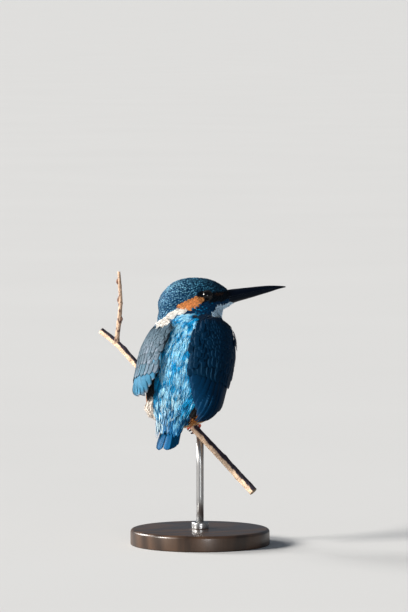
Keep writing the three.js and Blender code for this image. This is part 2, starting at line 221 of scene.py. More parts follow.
def along_curve(points, radius, steps, sides, ends=None, swell=None):
    """Rings of a round tube along a smooth curve through points.

    radius is one at the start and one at the end; swell (steps + 1, sides) scales it.
    """
    points = np.array(points, float)
    chord = np.concatenate([[0.0], np.cumsum(np.linalg.norm(np.diff(points, axis=0), axis=1))])
    curve = through(np.column_stack([chord, points]).tolist())
    s = np.linspace(0.0, 1.0, steps + 1)
    centre = curve(s * chord[-1])
    tangent = unit(np.gradient(centre, axis=0))
    side = unit(np.cross(tangent, ends if ends is not None else np.array([0.31, 0.93, 0.2])))
    other = np.cross(side, tangent)
    angle = np.arange(sides) * 2.0 * np.pi / sides
    size = mix(radius[0], radius[1], s)[:, None] * (np.ones((steps + 1, sides)) if swell is None else swell)
    return (
        centre[:, None]
        + (size * np.cos(angle))[..., None] * side[:, None]
        + (size * np.sin(angle))[..., None] * other[:, None]
    )


# ------------------------------------------------------------------ the bird's own sizes

TRUNK = [
    (-38, 6, 4.5, 2.5),
    (-35, 14, 8.5, 7),
    (-29, 21.5, 12.6, 14),
    (-20, 24.6, 16.5, 20.5),
    (-8, 26.8, 20, 26),
    (5, 27.6, 21.5, 28),
    (18, 26, 20.5, 26),
    (28, 23.2, 18, 22),
    (36, 19, 14, 16.5),
    (43, 12, 8, 9),
]
RUMP = [(-20, 11.5, 9, 7), (-28, 11.5, 9, 7.5), (-35, 10.9, 7.4, 6.2), (-40, 9.8, 5, 4.6), (-44, 8.8, 2.9, 3.2), (-46.5, 8, 1.9, 2.4)]
HEAD = [
    (-23.2, 4, 0, 8),
    (-21.5, 7.4, 4.4, 9),
    (-18, 10.6, 8.4, 10.5),
    (-12, 12.7, 12.5, 12),
    (-4, 13.2, 14.0, 12.5),
    (4, 12.6, 13.4, 12),
    (11, 10.6, 11.5, 10.6),
    (17, 7.4, 7.9, 9.2),
    (21.5, 5.0, 3.7, 7.6),
    (25.5, 2.6, 0.6, 5.2),
]
NECK = [(126, 14, 17, 17), (136, 16.5, 20, 21), (142, 15.5, 20.4, 22), (148, 14, 21.4, 20.5), (153, 12.5, 22.2, 18.5), (158, 8.5, 14, 13)]
BILL = [
    (14, 4.4, 2.4, -2.6, -4.6),
    (22, 4.3, 3.1, -1.3, -5.5),
    (28, 3.6, 3.15, -0.6, -4.5),
    (35, 2.9, 3.1, -0.1, -3.4),
    (42, 2.2, 3.05, 0.4, -2.15),
    (48, 1.6, 2.8, 0.8, -1.1),
    (54, 0.95, 2.1, 1.0, 0.1),
    (58.4, 0.3, 1.3, 0.95, 0.6),
]
# Each wing: [along the back, inner edge, outer edge (degrees from the back), height over the trunk].
WING = {
    1: [
        (34, 54, 78, 1.6),
        (30, 34, 96, 3),
        (24, 18, 106, 3),
        (12, 15, 106, 2.4),
        (-2, 19, 95, 2),
        (-14, 23, 88, 3),
        (-22, 26, 83, 4.8),
        (-28, 29, 80, 5.8),
        (-33, 36, 78, 8.6),
        (-37, 50, 74, 11.8),
        (-39, 58, 68, 13.2),
    ],
    -1: [
        (34, 54, 78, 0.9),
        (30, 36, 96, 1.9),
        (24, 15, 106, 2.9),
        (12, 18, 106, 4.6),
        (-2, 22, 100, 5.4),
        (-11, 23, 90, 7),
        (-18, 28, 76, 9.2),
        (-23, 34, 60, 10.2),
        (-25, 40, 50, 10),
    ],
}
# Where the tips of the quills end, from the innermost: [along the back, degrees from the back].
QUILL_TIPS = {
    1: [(-15, 26), (-20, 28), (-24.5, 30), (-28.5, 33), (-32, 38), (-35, 45), (-37.2, 53), (-38, 60), (-36.8, 67), (-33.5, 75), (-28, 84)],
    -1: [(-7, 22.5), (-12, 24), (-16, 26.5), (-20, 30), (-23.3, 34), (-24.8, 38.5), (-25.2, 43.5), (-24.9, 48.5), (-23.6, 53.5), (-18.5, 63), (-12, 75)],
}

trunk_axes = Axes((-8.2, -5, 110.3), 19, 62)
tail_axes = Axes(trunk_axes.out(0.0, 2.5, 0.0), 19, 62, turned=-6, rolled=18)
head_axes = Axes((-3.2, 13, 154.6), 82, 6)
level_head = Axes((-3.2, 13, 154.6), 82, 0)
neck_axes = Axes((-6, 12, 0), 82, 0)
neck_axes.right, neck_axes.up, neck_axes.along = level_head.right, level_head.along, np.array([0.0, 0.0, 1.0])

trunk_size = through(TRUNK)
wing_size = {side: through(rows) for side, rows in WING.items()}
EYE_AT = {"along": 6.4, "side": 8.7, "up": 1.9}
EYE_RADIUS = 3.8

PERCH = [
    (-63, 29, 133.2),
    (-52.5, 24.4, 125.1),
    (-44.1, 20.5, 116.5),
    (-25.2, 11.5, 96.4),
    (-4.4, 1.8, 74.4),
    (13, -6.2, 56.5),
    (33.6, -15.7, 35),
]
PERCH_RADIUS = (2.1, 2.8)
SHOOT = [
    (-53.2, 24.6, 125.4),
    (-52.6, 24.4, 130),
    (-51.3, 24.6, 140.4),
    (-50.5, 25, 150.5),
    (-50.9, 25.2, 162),
    (-51.6, 25.4, 171),
]
SHOOT_RADIUS = (1.7, 1.0)
FEET = {"left": -17.5, "right": -4.5}
TOES = [("inner", -2.2, 14, 150), ("middle", 0.0, 14, 158), ("outer", 2.2, 14, 168), ("hind", -0.8, -16, -130)]


def over_trunk(along, angle, lift, side):
    """Points at a height over the trunk's oval. angle is in degrees from the middle of the back."""
    size = trunk_size(along)
    angle = np.radians(angle)
    depth = np.where(np.cos(angle) > 0.0, size[..., 1], size[..., 2])
    return trunk_axes.out(
        side * (size[..., 0] + lift) * np.sin(angle),
        (depth + lift) * np.cos(angle),
        along,
    )


def over_wing(along, angle, rise, side):
    """Points at a rise over the folded wing, whose back is highest between its two edges."""
    size = wing_size[side](along)
    share = np.clip((angle - size[..., 0]) / (size[..., 1] - size[..., 0]), 0.0, 1.0)
    crown = 0.35 + 0.65 * np.sin(np.pi * share) ** 0.6
    lift = size[..., 2] * (0.55 + 0.45 * crown)
    return over_trunk(along, angle, lift + rise, side)


# ------------------------------------------------------------------ sizes and colours that a user would change


class KingfisherSizes(bpy.types.PropertyGroup):
    """Depths and fineness of the coat, in metres."""

    coat_body: bpy.props.FloatProperty(
        name="Body coat", description="Depth of the feathers on the trunk", default=0.0015, min=0.0, unit="LENGTH", subtype="DISTANCE"
    )
    coat_head: bpy.props.FloatProperty(
        name="Head coat", description="Depth of the feathers on the head", default=0.0008, min=0.0, unit="LENGTH", subtype="DISTANCE"
    )
    voxel: bpy.props.FloatProperty(
        name="Skin grain", description="Size of the skin's faces", default=0.0007, min=0.0003, unit="LENGTH", subtype="DISTANCE"
    )


def colour_property(name, description, default):
    """A colour with no alpha, in linear light."""
    return bpy.props.FloatVectorProperty(name=name, description=description, default=default, size=3, min=0.0, max=1.0, subtype="COLOR")


class KingfisherColours(bpy.types.PropertyGroup):
    """The plumage colours."""

    crown: colour_property("Crown", "Dark ground of the crown feathers", (0.002, 0.040, 0.115))
    crown_bar: colour_property("Crown bars", "Pale bars across the crown feathers", (0.11, 0.44, 0.66))
    azure: colour_property("Azure", "Middle of the back", (0.003, 0.33, 0.66))
    cobalt: colour_property("Cobalt", "Darkest of the back", (0.001, 0.085, 0.26))
    sky: colour_property("Sky", "Palest of the back", (0.50, 0.86, 1.0))
    # Teal and Quills are partly painted shade: kept darker than the wing's own blue-green, so the right wing reads as
    # shaded.
    teal: colour_property("Teal", "Wing coverts", (0.0006, 0.014, 0.040))
    quill: colour_property("Quills", "Outer webs of the flight feathers", (0.0008, 0.022, 0.064))
    # Painted sheen: the paler, greyer tone laid on the left wing alone, as if low sun caught it.
    lit_wing: colour_property("Worn wing", "Paler, greyer feathers of the left wing", (0.085, 0.125, 0.155))
    rufous: colour_property("Rufous", "Breast and belly", (0.56, 0.20, 0.045))
    buff: colour_property("Buff", "Vent and undertail", (0.74, 0.46, 0.24))
    white: colour_property("White", "Throat and neck patch", (0.93, 0.89, 0.84))
    ear: colour_property("Ear coverts", "Patch behind the eye", (0.86, 0.36, 0.125))
    tail: colour_property("Tail", "Upper side of the tail", (0.003, 0.082, 0.205))


def sizes():
    return bpy.context.scene.kingfisher_sizes


def colour(name):
    """One plumage colour as an array."""
    return np.array(getattr(bpy.context.scene.kingfisher_colours, name)[:])


# ------------------------------------------------------------------ markings


def ripple(points, scale, seed):
    """A smooth field from about -1 to 1: a sum of sines along seeded directions."""
    rng = np.random.default_rng(seed)
    total = 0.0
    for _ in range(6):
        direction = unit(rng.normal(size=3)) * 2.0 * np.pi / (scale * rng.uniform(0.6, 1.7))
        total = total + np.sin(points @ direction + rng.uniform(0.0, 6.28))
    return total / 3.0


def trunk_place(points):
    """Where points are round the trunk: the distance along it, and degrees from the middle of the back."""
    right, up, along = trunk_axes.into(points)
    size = trunk_size(along)
    depth = np.where(up > 0.0, size[..., 1], size[..., 2])
    return along, np.degrees(np.arctan2(right / size[..., 0], up / depth))


def distance_to_path(a, h, path):
    """For places (a, h): how far each is from a path, and how far along it, from 0 to 1."""
    path = np.array(path, float)
    start, step = path[:-1], np.diff(path, axis=0)
    place = np.stack([a, h], axis=-1)[..., None, :] - start
    share = np.clip(np.sum(place * step, axis=-1) / np.sum(step * step, axis=-1), 0.0, 1.0)
    gap = np.linalg.norm(place - share[..., None] * step, axis=-1)
    nearest = np.argmin(gap, axis=-1)[..., None]
    along = (nearest + np.take_along_axis(share, nearest, -1)) / len(step)
    return np.take_along_axis(gap, nearest, -1)[..., 0], along[..., 0]


BLAZE = [(-6.0, -5.3), (-9.5, -5.6), (-13.5, -6.2), (-18, -8.1), (-22.5, -11.2), (-28, -15.4)]
BLAZE_HALF = [(0.0, 0.9), (0.2, 1.4), (0.4, 1.7), (0.6, 1.8), (0.8, 1.75), (1.0, 1.35)]
# The zones of the coat, by number.
CROWN, LORES, EAR, BLAZE_ZONE, MALAR, THROAT, BACK, SCAPULAR, BREAST, VENT, WING_ZONE, PAINTED_SHADOW, CREAM = range(13)


def zones(points):
    """The zone of the coat at each point, from where it is on the head and round the trunk."""
    side, h, a = head_axes.into(points)
    side = np.abs(side)
    wobble = ripple(points, 3.5, 3) * 0.45
    t, angle = trunk_place(points)
    turned = np.abs(angle)

    left_edge = np.interp(t, [-37, -31, -25, -19, -14, -8, -1, 5, 12, 30], [68, 60, 50, 39, 34, 33, 32, 31, 30, 27])
    right_edge = np.interp(t, [-37, -31, -25, -19, -14, -8, -1, 5, 12, 30], [42, 36, 35, 36, 36, 34, 30, 26, 23, 21])
    azure_to = np.where(angle < 0.0, left_edge, right_edge) + wobble * 3.0
    zone = np.where(turned < azure_to, BACK, BREAST)
    zone = np.where((t > 22.0) & (turned >= azure_to) & (turned < 104.0), SCAPULAR, zone)
    for way, size in wing_size.items():
        inner, outer, _ = np.moveaxis(size(t), -1, 0)
        covered = (t > -9.0) & (t < 33.0) & (way * angle > inner + 1.5) & (way * angle < outer - 2.5)
        zone = np.where(covered, WING_ZONE, zone)
    zone = np.where((t < -22.0) & (turned >= np.maximum(azure_to + 14.0, 84.0)), VENT, zone)
    # Painted shadow: the strip between the azure back and each wing tip is painted near black, for the shade under the
    # raised wing.
    shadow_gap = (turned >= azure_to) & (turned < np.where(angle < 0.0, 80.0, 56.0)) & (t < -9.0) & (t > np.where(angle < 0.0, -24.0, -35.0))
    zone = np.where(shadow_gap, PAINTED_SHADOW, zone)
    zone = np.where((t < -22.5 + wobble) & (t > -34.0) & (angle < -azure_to) & (angle > -104.0), CREAM, zone)
    right, up, along = tail_axes.into(points)
    on_tail = (along < -34.0) & (np.abs(right) < 13.0)
    zone = np.where(on_tail & (up > -0.2 * np.abs(right) - 0.6), BACK, zone)
    zone = np.where(on_tail & (up <= -0.2 * np.abs(right) - 0.6), VENT, zone)

    x, y, z = points[..., 0], points[..., 1], points[..., 2]
    back_edge = 145.6 + 0.4 * np.minimum(x + 10.0, 1.0)
    head_from = mix(back_edge, 141.0, smooth(6.0, 16.0, y + 0.6 * (x + 6.0))) + wobble
    shoulder = (x > 13.6) & (z < 143.6 + 0.9 * (x - 13.6))
    on_head = (z > head_from) & ~shoulder
    zone = np.where(on_head, CROWN, zone)
    below = h < np.interp(a, [-13, -10, -4, 3, 8, 20], [-2.2, -0.6, 1.2, 0.8, 0.2, 0.2]) + wobble * 0.6
    malar = on_head & below & (a > -9.0) & (h < 1.0)
    zone = np.where(malar, MALAR, zone)
    lores = (a > 8.0) & (np.abs(h - 0.4) < np.interp(a, [8, 12, 20, 26], [3.4, 3.0, 2.6, 2.2]) + wobble * 0.3)
    mask = ((a - 5.6) / 5.4) ** 2 + ((h - 1.9) / 3.7) ** 2 < 1.0 + wobble * 0.1
    zone = np.where(on_head & (lores | mask) & (side > 2.0), LORES, zone)
    ear = ((a + 3.9) / 8.0) ** 2 + ((h + 1.8 - 0.20 * (a + 3.9)) / 3.3) ** 2 < 1.0 + wobble * 0.05
    zone = np.where(on_head & ear & (side > 6.0), EAR, zone)
    gap, share = distance_to_path(a, h, BLAZE)
    half = through(BLAZE_HALF)(share)[..., 0]
    zone = np.where((gap < half + wobble * 0.3) & (side > np.interp(a, [-24, -18], [1.5, 4.0])) & (z > head_from - 1.2) & (x > -26.0), BLAZE_ZONE, zone)
    throat = (z > 144.2) & (h < -4.4 + wobble * 0.3) & (a > 12.8 + 0.62 * (h + 4.9)) & (z > 145.4 + 0.9 * (x - 15.6))
    return np.where(throat, THROAT, zone)


def ground_colour(points, zone):
    """The plain colour of each point's zone, with a slow change over the body."""
    t, angle = trunk_place(points)
    side, h, a = head_axes.into(points)
    slow = ripple(points, 14.0, 5)[..., None]
    rows = np.zeros(points.shape)
    rows[:] = colour("crown")
    # Darker towards the forehead, lighter towards the nape: painted shade in front and painted sunlight from behind,
    # over the crown's own colour.
    crown = mix(colour("crown") * 0.35, colour("crown") * 1.2, smooth(16.0, -18.0, a)[..., None])
    rows = np.where((zone == CROWN)[..., None], crown, rows)
    spot = smooth(12.0, 14.0, a) * smooth(19.0, 17.0, a) * smooth(1.0, 1.7, h) * smooth(3.0, 2.4, h)
    loral = colour("ear") * 0.05 * spot[..., None] + np.array([0.0022, 0.0034, 0.0065])
    rows = np.where((zone == LORES)[..., None], loral, rows)
    rows = np.where((zone == EAR)[..., None], colour("ear") * (1.0 + 0.12 * slow), rows)
    rows = np.where((zone == BLAZE_ZONE)[..., None], colour("white"), rows)
    # Painted shade: the throat's white is tinted blue, for skylight on its shaded side.
    rows = np.where((zone == THROAT)[..., None], colour("white") * np.array([0.68, 0.92, 1.15]), rows)
    malar = mix(colour("crown") * 0.6, colour("cobalt") * 0.5, 0.35)
    rows = np.where((zone == MALAR)[..., None], malar, rows)
    middle = smooth(50.0, 12.0, np.abs(angle))[..., None]
    azure = mix(mix(colour("cobalt"), colour("azure"), 0.55), colour("azure"), middle) * (1.0 + 0.18 * slow)
    rows = np.where((zone == BACK)[..., None], azure, rows)
    # Painted sheen: the left shoulder and wing zone are mixed towards lit_wing, paler and greyer as if lit by low sun.
    shoulder = np.where((angle < 0.0)[..., None], mix(colour("teal"), colour("lit_wing"), 0.6), colour("teal"))
    rows = np.where(((zone == SCAPULAR) | (zone == WING_ZONE))[..., None], shoulder * (1.0 + 0.2 * slow), rows)
    deep = colour("rufous") * (1.0 + 0.14 * slow)
    rows = np.where((zone == BREAST)[..., None], deep, rows)
    # Painted shadow under the wings: near black.
    rows = np.where((zone == PAINTED_SHADOW)[..., None], np.array([0.010, 0.010, 0.012]), rows)
    rows = np.where((zone == CREAM)[..., None], mix(colour("buff"), colour("white"), 0.78), rows)
    vent = mix(deep, colour("buff"), smooth(-22.0, -32.0, t)[..., None])
    return np.where((zone == VENT)[..., None], vent, rows)


# ------------------------------------------------------------------ materials


def new_material(name, roughness=0.5, **constants):
    """A material with its Principled shader; constants are set on the shader's own sockets."""
    material = bpy.data.materials.new(name)
    material.use_nodes = True
    shader = material.node_tree.nodes["Principled BSDF"]
    shader.inputs["Roughness"].default_value = roughness
    for title, value in constants.items():
        shader.inputs[title.replace("_", " ").title().replace("Ior", "IOR")].default_value = value
    return material, material.node_tree, shader


def node(tree, kind, values=None, **settings):
    """A node of this kind, with its settings and the values of its inputs."""
    made = tree.nodes.new(kind)
    for title, value in settings.items():
        setattr(made, title, value)
    for title, value in (values or {}).items():
        made.inputs[title].default_value = value
    return made


def barb_group():
    """The fine slanted barbs of a vane on either side of its shaft, as a shade and a height."""
    name = "Barbs"
    if name in bpy.data.node_groups:
        return bpy.data.node_groups[name]
    tree = bpy.data.node_groups.new(name, "ShaderNodeTree")
    for title, default in (("Barbs", 60.0), ("Slant", 0.6), ("Depth", 0.2)):
        tree.interface.new_socket(title, in_out="INPUT", socket_type="NodeSocketFloat").default_value = default
    tree.interface.new_socket("Shade", in_out="OUTPUT", socket_type="NodeSocketFloat")
    tree.interface.new_socket("Height", in_out="OUTPUT", socket_type="NodeSocketFloat")
    given = node(tree, "NodeGroupInput")
    result = node(tree, "NodeGroupOutput")
    vane = node(tree, "ShaderNodeUVMap", uv_map="Vane")
    split = node(tree, "ShaderNodeSeparateXYZ")
    tree.links.new(vane.outputs[0], split.inputs[0])
    across = node(tree, "ShaderNodeMath", {1: 0.5}, operation="SUBTRACT")
    tree.links.new(split.outputs["X"], across.inputs[0])
    away = node(tree, "ShaderNodeMath", operation="ABSOLUTE")
    tree.links.new(across.outputs[0], away.inputs[0])
    slanted = node(tree, "ShaderNodeMath", operation="MULTIPLY")
    tree.links.new(away.outputs[0], slanted.inputs[0])
    tree.links.new(given.outputs["Slant"], slanted.inputs[1])
    lengthwise = node(tree, "ShaderNodeMath", operation="SUBTRACT")
    tree.links.new(split.outputs["Y"], lengthwise.inputs[0])
    tree.links.new(slanted.outputs[0], lengthwise.inputs[1])
    many = node(tree, "ShaderNodeMath", operation="MULTIPLY")
    tree.links.new(lengthwise.outputs[0], many.inputs[0])
    tree.links.new(given.outputs["Barbs"], many.inputs[1])
    wave = node(tree, "ShaderNodeMath", operation="SINE")
    tree.links.new(many.outputs[0], wave.inputs[0])
    shaft = node(tree, "ShaderNodeMapRange", {"From Min": 0.0, "From Max": 0.045, "To Min": 1.0, "To Max": 0.0})
    tree.links.new(away.outputs[0], shaft.inputs["Value"])
    height = node(tree, "ShaderNodeMath", {1: 0.5, 2: 0.5}, operation="MULTIPLY_ADD")
    tree.links.new(wave.outputs[0], height.inputs[0])
    raised = node(tree, "ShaderNodeMath", operation="ADD")
    tree.links.new(height.outputs[0], raised.inputs[0])
    tree.links.new(shaft.outputs[0], raised.inputs[1])
    tree.links.new(raised.outputs[0], result.inputs["Height"])
    dark = node(tree, "ShaderNodeMath", operation="MULTIPLY")
    tree.links.new(height.outputs[0], dark.inputs[0])
    tree.links.new(given.outputs["Depth"], dark.inputs[1])
    shade = node(tree, "ShaderNodeMath", {0: 1.0}, operation="SUBTRACT")
    tree.links.new(dark.outputs[0], shade.inputs[1])
    tree.links.new(shade.outputs[0], result.inputs["Shade"])
    return tree


def feather_material(name, barbs, depth, roughness, gleam=0.15, bump=0.25, sheen=0.0, tint=(1.0, 1.0, 1.0)):
    """Plumage: the painted colour, darkened and raised by the barbs, with mottling at a fine scale."""
    material, tree, shader = new_material(name, roughness, sheen_weight=sheen, sheen_roughness=0.4)
    shader.inputs["Specular IOR Level"].default_value = gleam
    shader.inputs["Specular Tint"].default_value = (*tint, 1.0)
    shader.inputs["Sheen Tint"].default_value = (*tint, 1.0)
    paint = node(tree, "ShaderNodeVertexColor", layer_name="plumage")
    barb = node(tree, "ShaderNodeGroup", {}, node_tree=barb_group())
    barb.inputs["Barbs"].default_value = barbs
    barb.inputs["Depth"].default_value = depth
    place = node(tree, "ShaderNodeTexCoord")
    mottle = node(tree, "ShaderNodeTexNoise", {"Scale": 900.0, "Detail": 3.0})
    tree.links.new(place.outputs["Object"], mottle.inputs["Vector"])
    spread = node(tree, "ShaderNodeMapRange", {"From Min": 0.3, "From Max": 0.7, "To Min": 0.82, "To Max": 1.18})
    tree.links.new(mottle.outputs["Fac"], spread.inputs["Value"])
    both = node(tree, "ShaderNodeMath", operation="MULTIPLY")
    tree.links.new(barb.outputs["Shade"], both.inputs[0])
    tree.links.new(spread.outputs[0], both.inputs[1])
    painted = node(tree, "ShaderNodeVectorMath", operation="SCALE")
    tree.links.new(paint.outputs["Color"], painted.inputs[0])
    tree.links.new(both.outputs[0], painted.inputs["Scale"])
    tree.links.new(painted.outputs[0], shader.inputs["Base Color"])
    raised = node(tree, "ShaderNodeBump", {"Strength": bump, "Distance": 0.0001})
    tree.links.new(barb.outputs["Height"], raised.inputs["Height"])
    tree.links.new(raised.outputs[0], shader.inputs["Normal"])
    return material


def skin_material():
    """The skin under the feathers: the same markings, matt and finely pitted."""
    material, tree, shader = new_material("Feathered skin", 0.85)
    shader.inputs["Specular IOR Level"].default_value = 0.15
    paint = node(tree, "ShaderNodeVertexColor", layer_name="plumage")
    place = node(tree, "ShaderNodeTexCoord")
    grain = node(tree, "ShaderNodeTexNoise", {"Scale": 1400.0, "Detail": 2.0})
    tree.links.new(place.outputs["Object"], grain.inputs["Vector"])
    spread = node(tree, "ShaderNodeMapRange", {"To Min": 0.6, "To Max": 0.95})
    tree.links.new(grain.outputs["Fac"], spread.inputs["Value"])
    shaded = node(tree, "ShaderNodeVectorMath", operation="SCALE")
    tree.links.new(paint.outputs["Color"], shaded.inputs[0])
    tree.links.new(spread.outputs[0], shaded.inputs["Scale"])
    tree.links.new(shaded.outputs[0], shader.inputs["Base Color"])
    pits = node(tree, "ShaderNodeBump", {"Strength": 0.3, "Distance": 0.0002})
    tree.links.new(grain.outputs["Fac"], pits.inputs["Height"])
    tree.links.new(pits.outputs[0], shader.inputs["Normal"])
    return material


def horn_material(name, dark, pale, roughness):
    """Horn: smooth, with faint streaks along it and a broken gloss."""
    material, tree, shader = new_material(name, roughness)
    shader.inputs["Specular IOR Level"].default_value = 0.2
    shader.inputs["Specular Tint"].default_value = (0.55, 0.75, 1.0, 1.0)
    place = node(tree, "ShaderNodeTexCoord")
    stretch = node(tree, "ShaderNodeMapping", {"Scale": (120.0, 700.0, 900.0)})
    tree.links.new(place.outputs["Object"], stretch.inputs["Vector"])
    streak = node(tree, "ShaderNodeTexNoise", {"Scale": 1.0, "Detail": 4.0})
    tree.links.new(stretch.outputs[0], streak.inputs["Vector"])
    ramp = node(tree, "ShaderNodeMix", data_type="RGBA")
    ramp.inputs["A"].default_value = (*dark, 1.0)
    ramp.inputs["B"].default_value = (*pale, 1.0)
    tree.links.new(streak.outputs["Fac"], ramp.inputs["Factor"])
    tree.links.new(ramp.outputs["Result"], shader.inputs["Base Color"])
    rough = node(tree, "ShaderNodeMapRange", {"To Min": roughness * 0.75, "To Max": roughness * 1.35})
    tree.links.new(streak.outputs["Fac"], rough.inputs["Value"])
    tree.links.new(rough.outputs[0], shader.inputs["Roughness"])
    raised = node(tree, "ShaderNodeBump", {"Strength": 0.15, "Distance": 0.0001})
    tree.links.new(streak.outputs["Fac"], raised.inputs["Height"])
    tree.links.new(raised.outputs[0], shader.inputs["Normal"])
    return material


def painted_material(name, roughness, scale, bump, contrast=0.25, distance=0.0002, gloss=0.0):
    """A painted surface whose colour and height are broken up by noise and by small cells."""
    material, tree, shader = new_material(name, roughness, coat_weight=gloss, coat_roughness=0.2)
    paint = node(tree, "ShaderNodeVertexColor", layer_name="plumage")
    place = node(tree, "ShaderNodeTexCoord")
    grain = node(tree, "ShaderNodeTexNoise", {"Scale": scale, "Detail": 6.0, "Roughness": 0.65})
    cells = node(tree, "ShaderNodeTexVoronoi", {"Scale": scale * 1.6}, feature="DISTANCE_TO_EDGE")
    tree.links.new(place.outputs["Object"], grain.inputs["Vector"])
    tree.links.new(place.outputs["Object"], cells.inputs["Vector"])
    spread = node(tree, "ShaderNodeMapRange", {"From Min": 0.25, "From Max": 0.75, "To Min": 1.0 - contrast, "To Max": 1.0 + contrast})
    tree.links.new(grain.outputs["Fac"], spread.inputs["Value"])
    shaded = node(tree, "ShaderNodeVectorMath", operation="SCALE")
    tree.links.new(paint.outputs["Color"], shaded.inputs[0])
    tree.links.new(spread.outputs[0], shaded.inputs["Scale"])
    tree.links.new(shaded.outputs[0], shader.inputs["Base Color"])
    height = node(tree, "ShaderNodeMath", {2: 0.5}, operation="MULTIPLY_ADD")
    tree.links.new(cells.outputs["Distance"], height.inputs[0])
    height.inputs[1].default_value = 1.6
    tree.links.new(grain.outputs["Fac"], height.inputs[2])
    raised = node(tree, "ShaderNodeBump", {"Strength": bump, "Distance": distance})
    tree.links.new(height.outputs[0], raised.inputs["Height"])
    tree.links.new(raised.outputs[0], shader.inputs["Normal"])
    return material


def wood_material():
    """Dark varnished wood: rings round an axis outside the disc, with fine pores."""
    material, tree, shader = new_material("Varnished wood", 0.32, coat_weight=0.4, coat_roughness=0.18)
    place = node(tree, "ShaderNodeTexCoord")
    laid = node(tree, "ShaderNodeMapping", {"Location": (0.09, 0.0, 0.02), "Rotation": (0.05, 1.45, 0.2), "Scale": (1.0, 1.0, 0.08)})
    tree.links.new(place.outputs["Object"], laid.inputs["Vector"])
    rings = node(tree, "ShaderNodeTexWave", {"Scale": 60.0, "Distortion": 3.5, "Detail": 3.0, "Detail Scale": 1.5}, wave_type="RINGS", rings_direction="Z")
    tree.links.new(laid.outputs[0], rings.inputs["Vector"])
    pores = node(tree, "ShaderNodeTexNoise", {"Scale": 1600.0, "Detail": 3.0})
    tree.links.new(laid.outputs[0], pores.inputs["Vector"])
    share = node(tree, "ShaderNodeMath", {1: 0.65, 2: 0.0}, operation="MULTIPLY_ADD")
    tree.links.new(rings.outputs["Fac"], share.inputs[0])
    fine = node(tree, "ShaderNodeMath", {1: 0.35}, operation="MULTIPLY")
    tree.links.new(pores.outputs["Fac"], fine.inputs[0])
    tree.links.new(fine.outputs[0], share.inputs[2])
    tint = node(tree, "ShaderNodeMix", data_type="RGBA")
    tint.inputs["A"].default_value = (0.020, 0.011, 0.007, 1.0)
    tint.inputs["B"].default_value = (0.085, 0.043, 0.022, 1.0)
    tree.links.new(share.outputs[0], tint.inputs["Factor"])
    tree.links.new(tint.outputs["Result"], shader.inputs["Base Color"])
    rough = node(tree, "ShaderNodeMapRange", {"To Min": 0.26, "To Max": 0.42})
    tree.links.new(share.outputs[0], rough.inputs["Value"])
    tree.links.new(rough.outputs[0], shader.inputs["Roughness"])
    raised = node(tree, "ShaderNodeBump", {"Strength": 0.12, "Distance": 0.0001})
    tree.links.new(share.outputs[0], raised.inputs["Height"])
    tree.links.new(raised.outputs[0], shader.inputs["Normal"])
    return material


def steel_material():
    """Brushed steel: fine streaks along the rod in its roughness and height."""
    material, tree, shader = new_material("Brushed steel", 0.3, metallic=1.0)
    shader.inputs["Base Color"].default_value = (0.46, 0.46, 0.47, 1.0)
    place = node(tree, "ShaderNodeTexCoord")
    stretch = node(tree, "ShaderNodeMapping", {"Scale": (2600.0, 2600.0, 40.0)})
    tree.links.new(place.outputs["Object"], stretch.inputs["Vector"])
    streak = node(tree, "ShaderNodeTexNoise", {"Scale": 1.0, "Detail": 3.0})
    tree.links.new(stretch.outputs[0], streak.inputs["Vector"])
    tint = node(tree, "ShaderNodeMapRange", {"To Min": 0.36, "To Max": 0.56})
    tree.links.new(streak.outputs["Fac"], tint.inputs["Value"])
    tree.links.new(tint.outputs[0], shader.inputs["Base Color"])
    rough = node(tree, "ShaderNodeMapRange", {"To Min": 0.24, "To Max": 0.44})
    tree.links.new(streak.outputs["Fac"], rough.inputs["Value"])
    tree.links.new(rough.outputs[0], shader.inputs["Roughness"])
    raised = node(tree, "ShaderNodeBump", {"Strength": 0.1, "Distance": 0.00005})
    tree.links.new(streak.outputs["Fac"], raised.inputs["Height"])
    tree.links.new(raised.outputs[0], shader.inputs["Normal"])
    return material


def eye_material():
    """The eye: its painted pupil and iris with a fine radial fleck, under a wet gloss."""
    material, tree, shader = new_material("Eye", 0.04)
    shader.inputs["Specular IOR Level"].default_value = 0.42
    paint = node(tree, "ShaderNodeVertexColor", layer_name="plumage")
    place = node(tree, "ShaderNodeTexCoord")
    fleck = node(tree, "ShaderNodeTexNoise", {"Scale": 2200.0, "Detail": 2.0})
    tree.links.new(place.outputs["Object"], fleck.inputs["Vector"])
    spread = node(tree, "ShaderNodeMapRange", {"To Min": 0.35, "To Max": 0.75})
    tree.links.new(fleck.outputs["Fac"], spread.inputs["Value"])
    shaded = node(tree, "ShaderNodeVectorMath", operation="SCALE")
    tree.links.new(paint.outputs["Color"], shaded.inputs[0])
    tree.links.new(spread.outputs[0], shaded.inputs["Scale"])
    tree.links.new(shaded.outputs[0], shader.inputs["Base Color"])
    return material


def stage_material():
    """The pale floor, very slightly mottled. It throws back less light on the model than it shows."""
    material, tree, shader = new_material("Pale floor", 0.9)
    place = node(tree, "ShaderNodeTexCoord")
    cloud = node(tree, "ShaderNodeTexNoise", {"Scale": 3.0, "Detail": 2.0})
    tree.links.new(place.outputs["Object"], cloud.inputs["Vector"])
    tint = node(tree, "ShaderNodeMapRange", {"To Min": 0.61, "To Max": 0.64})
    tree.links.new(cloud.outputs["Fac"], tint.inputs["Value"])
    ray = node(tree, "ShaderNodeLightPath")
    seen = node(tree, "ShaderNodeMapRange", {"To Min": 0.55, "To Max": 1.0})
    tree.links.new(ray.outputs["Is Camera Ray"], seen.inputs["Value"])
    shown = node(tree, "ShaderNodeMath", operation="MULTIPLY")
    tree.links.new(tint.outputs[0], shown.inputs[0])
    tree.links.new(seen.outputs[0], shown.inputs[1])
    tree.links.new(shown.outputs[0], shader.inputs["Base Color"])
    return material


# ------------------------------------------------------------------ skin


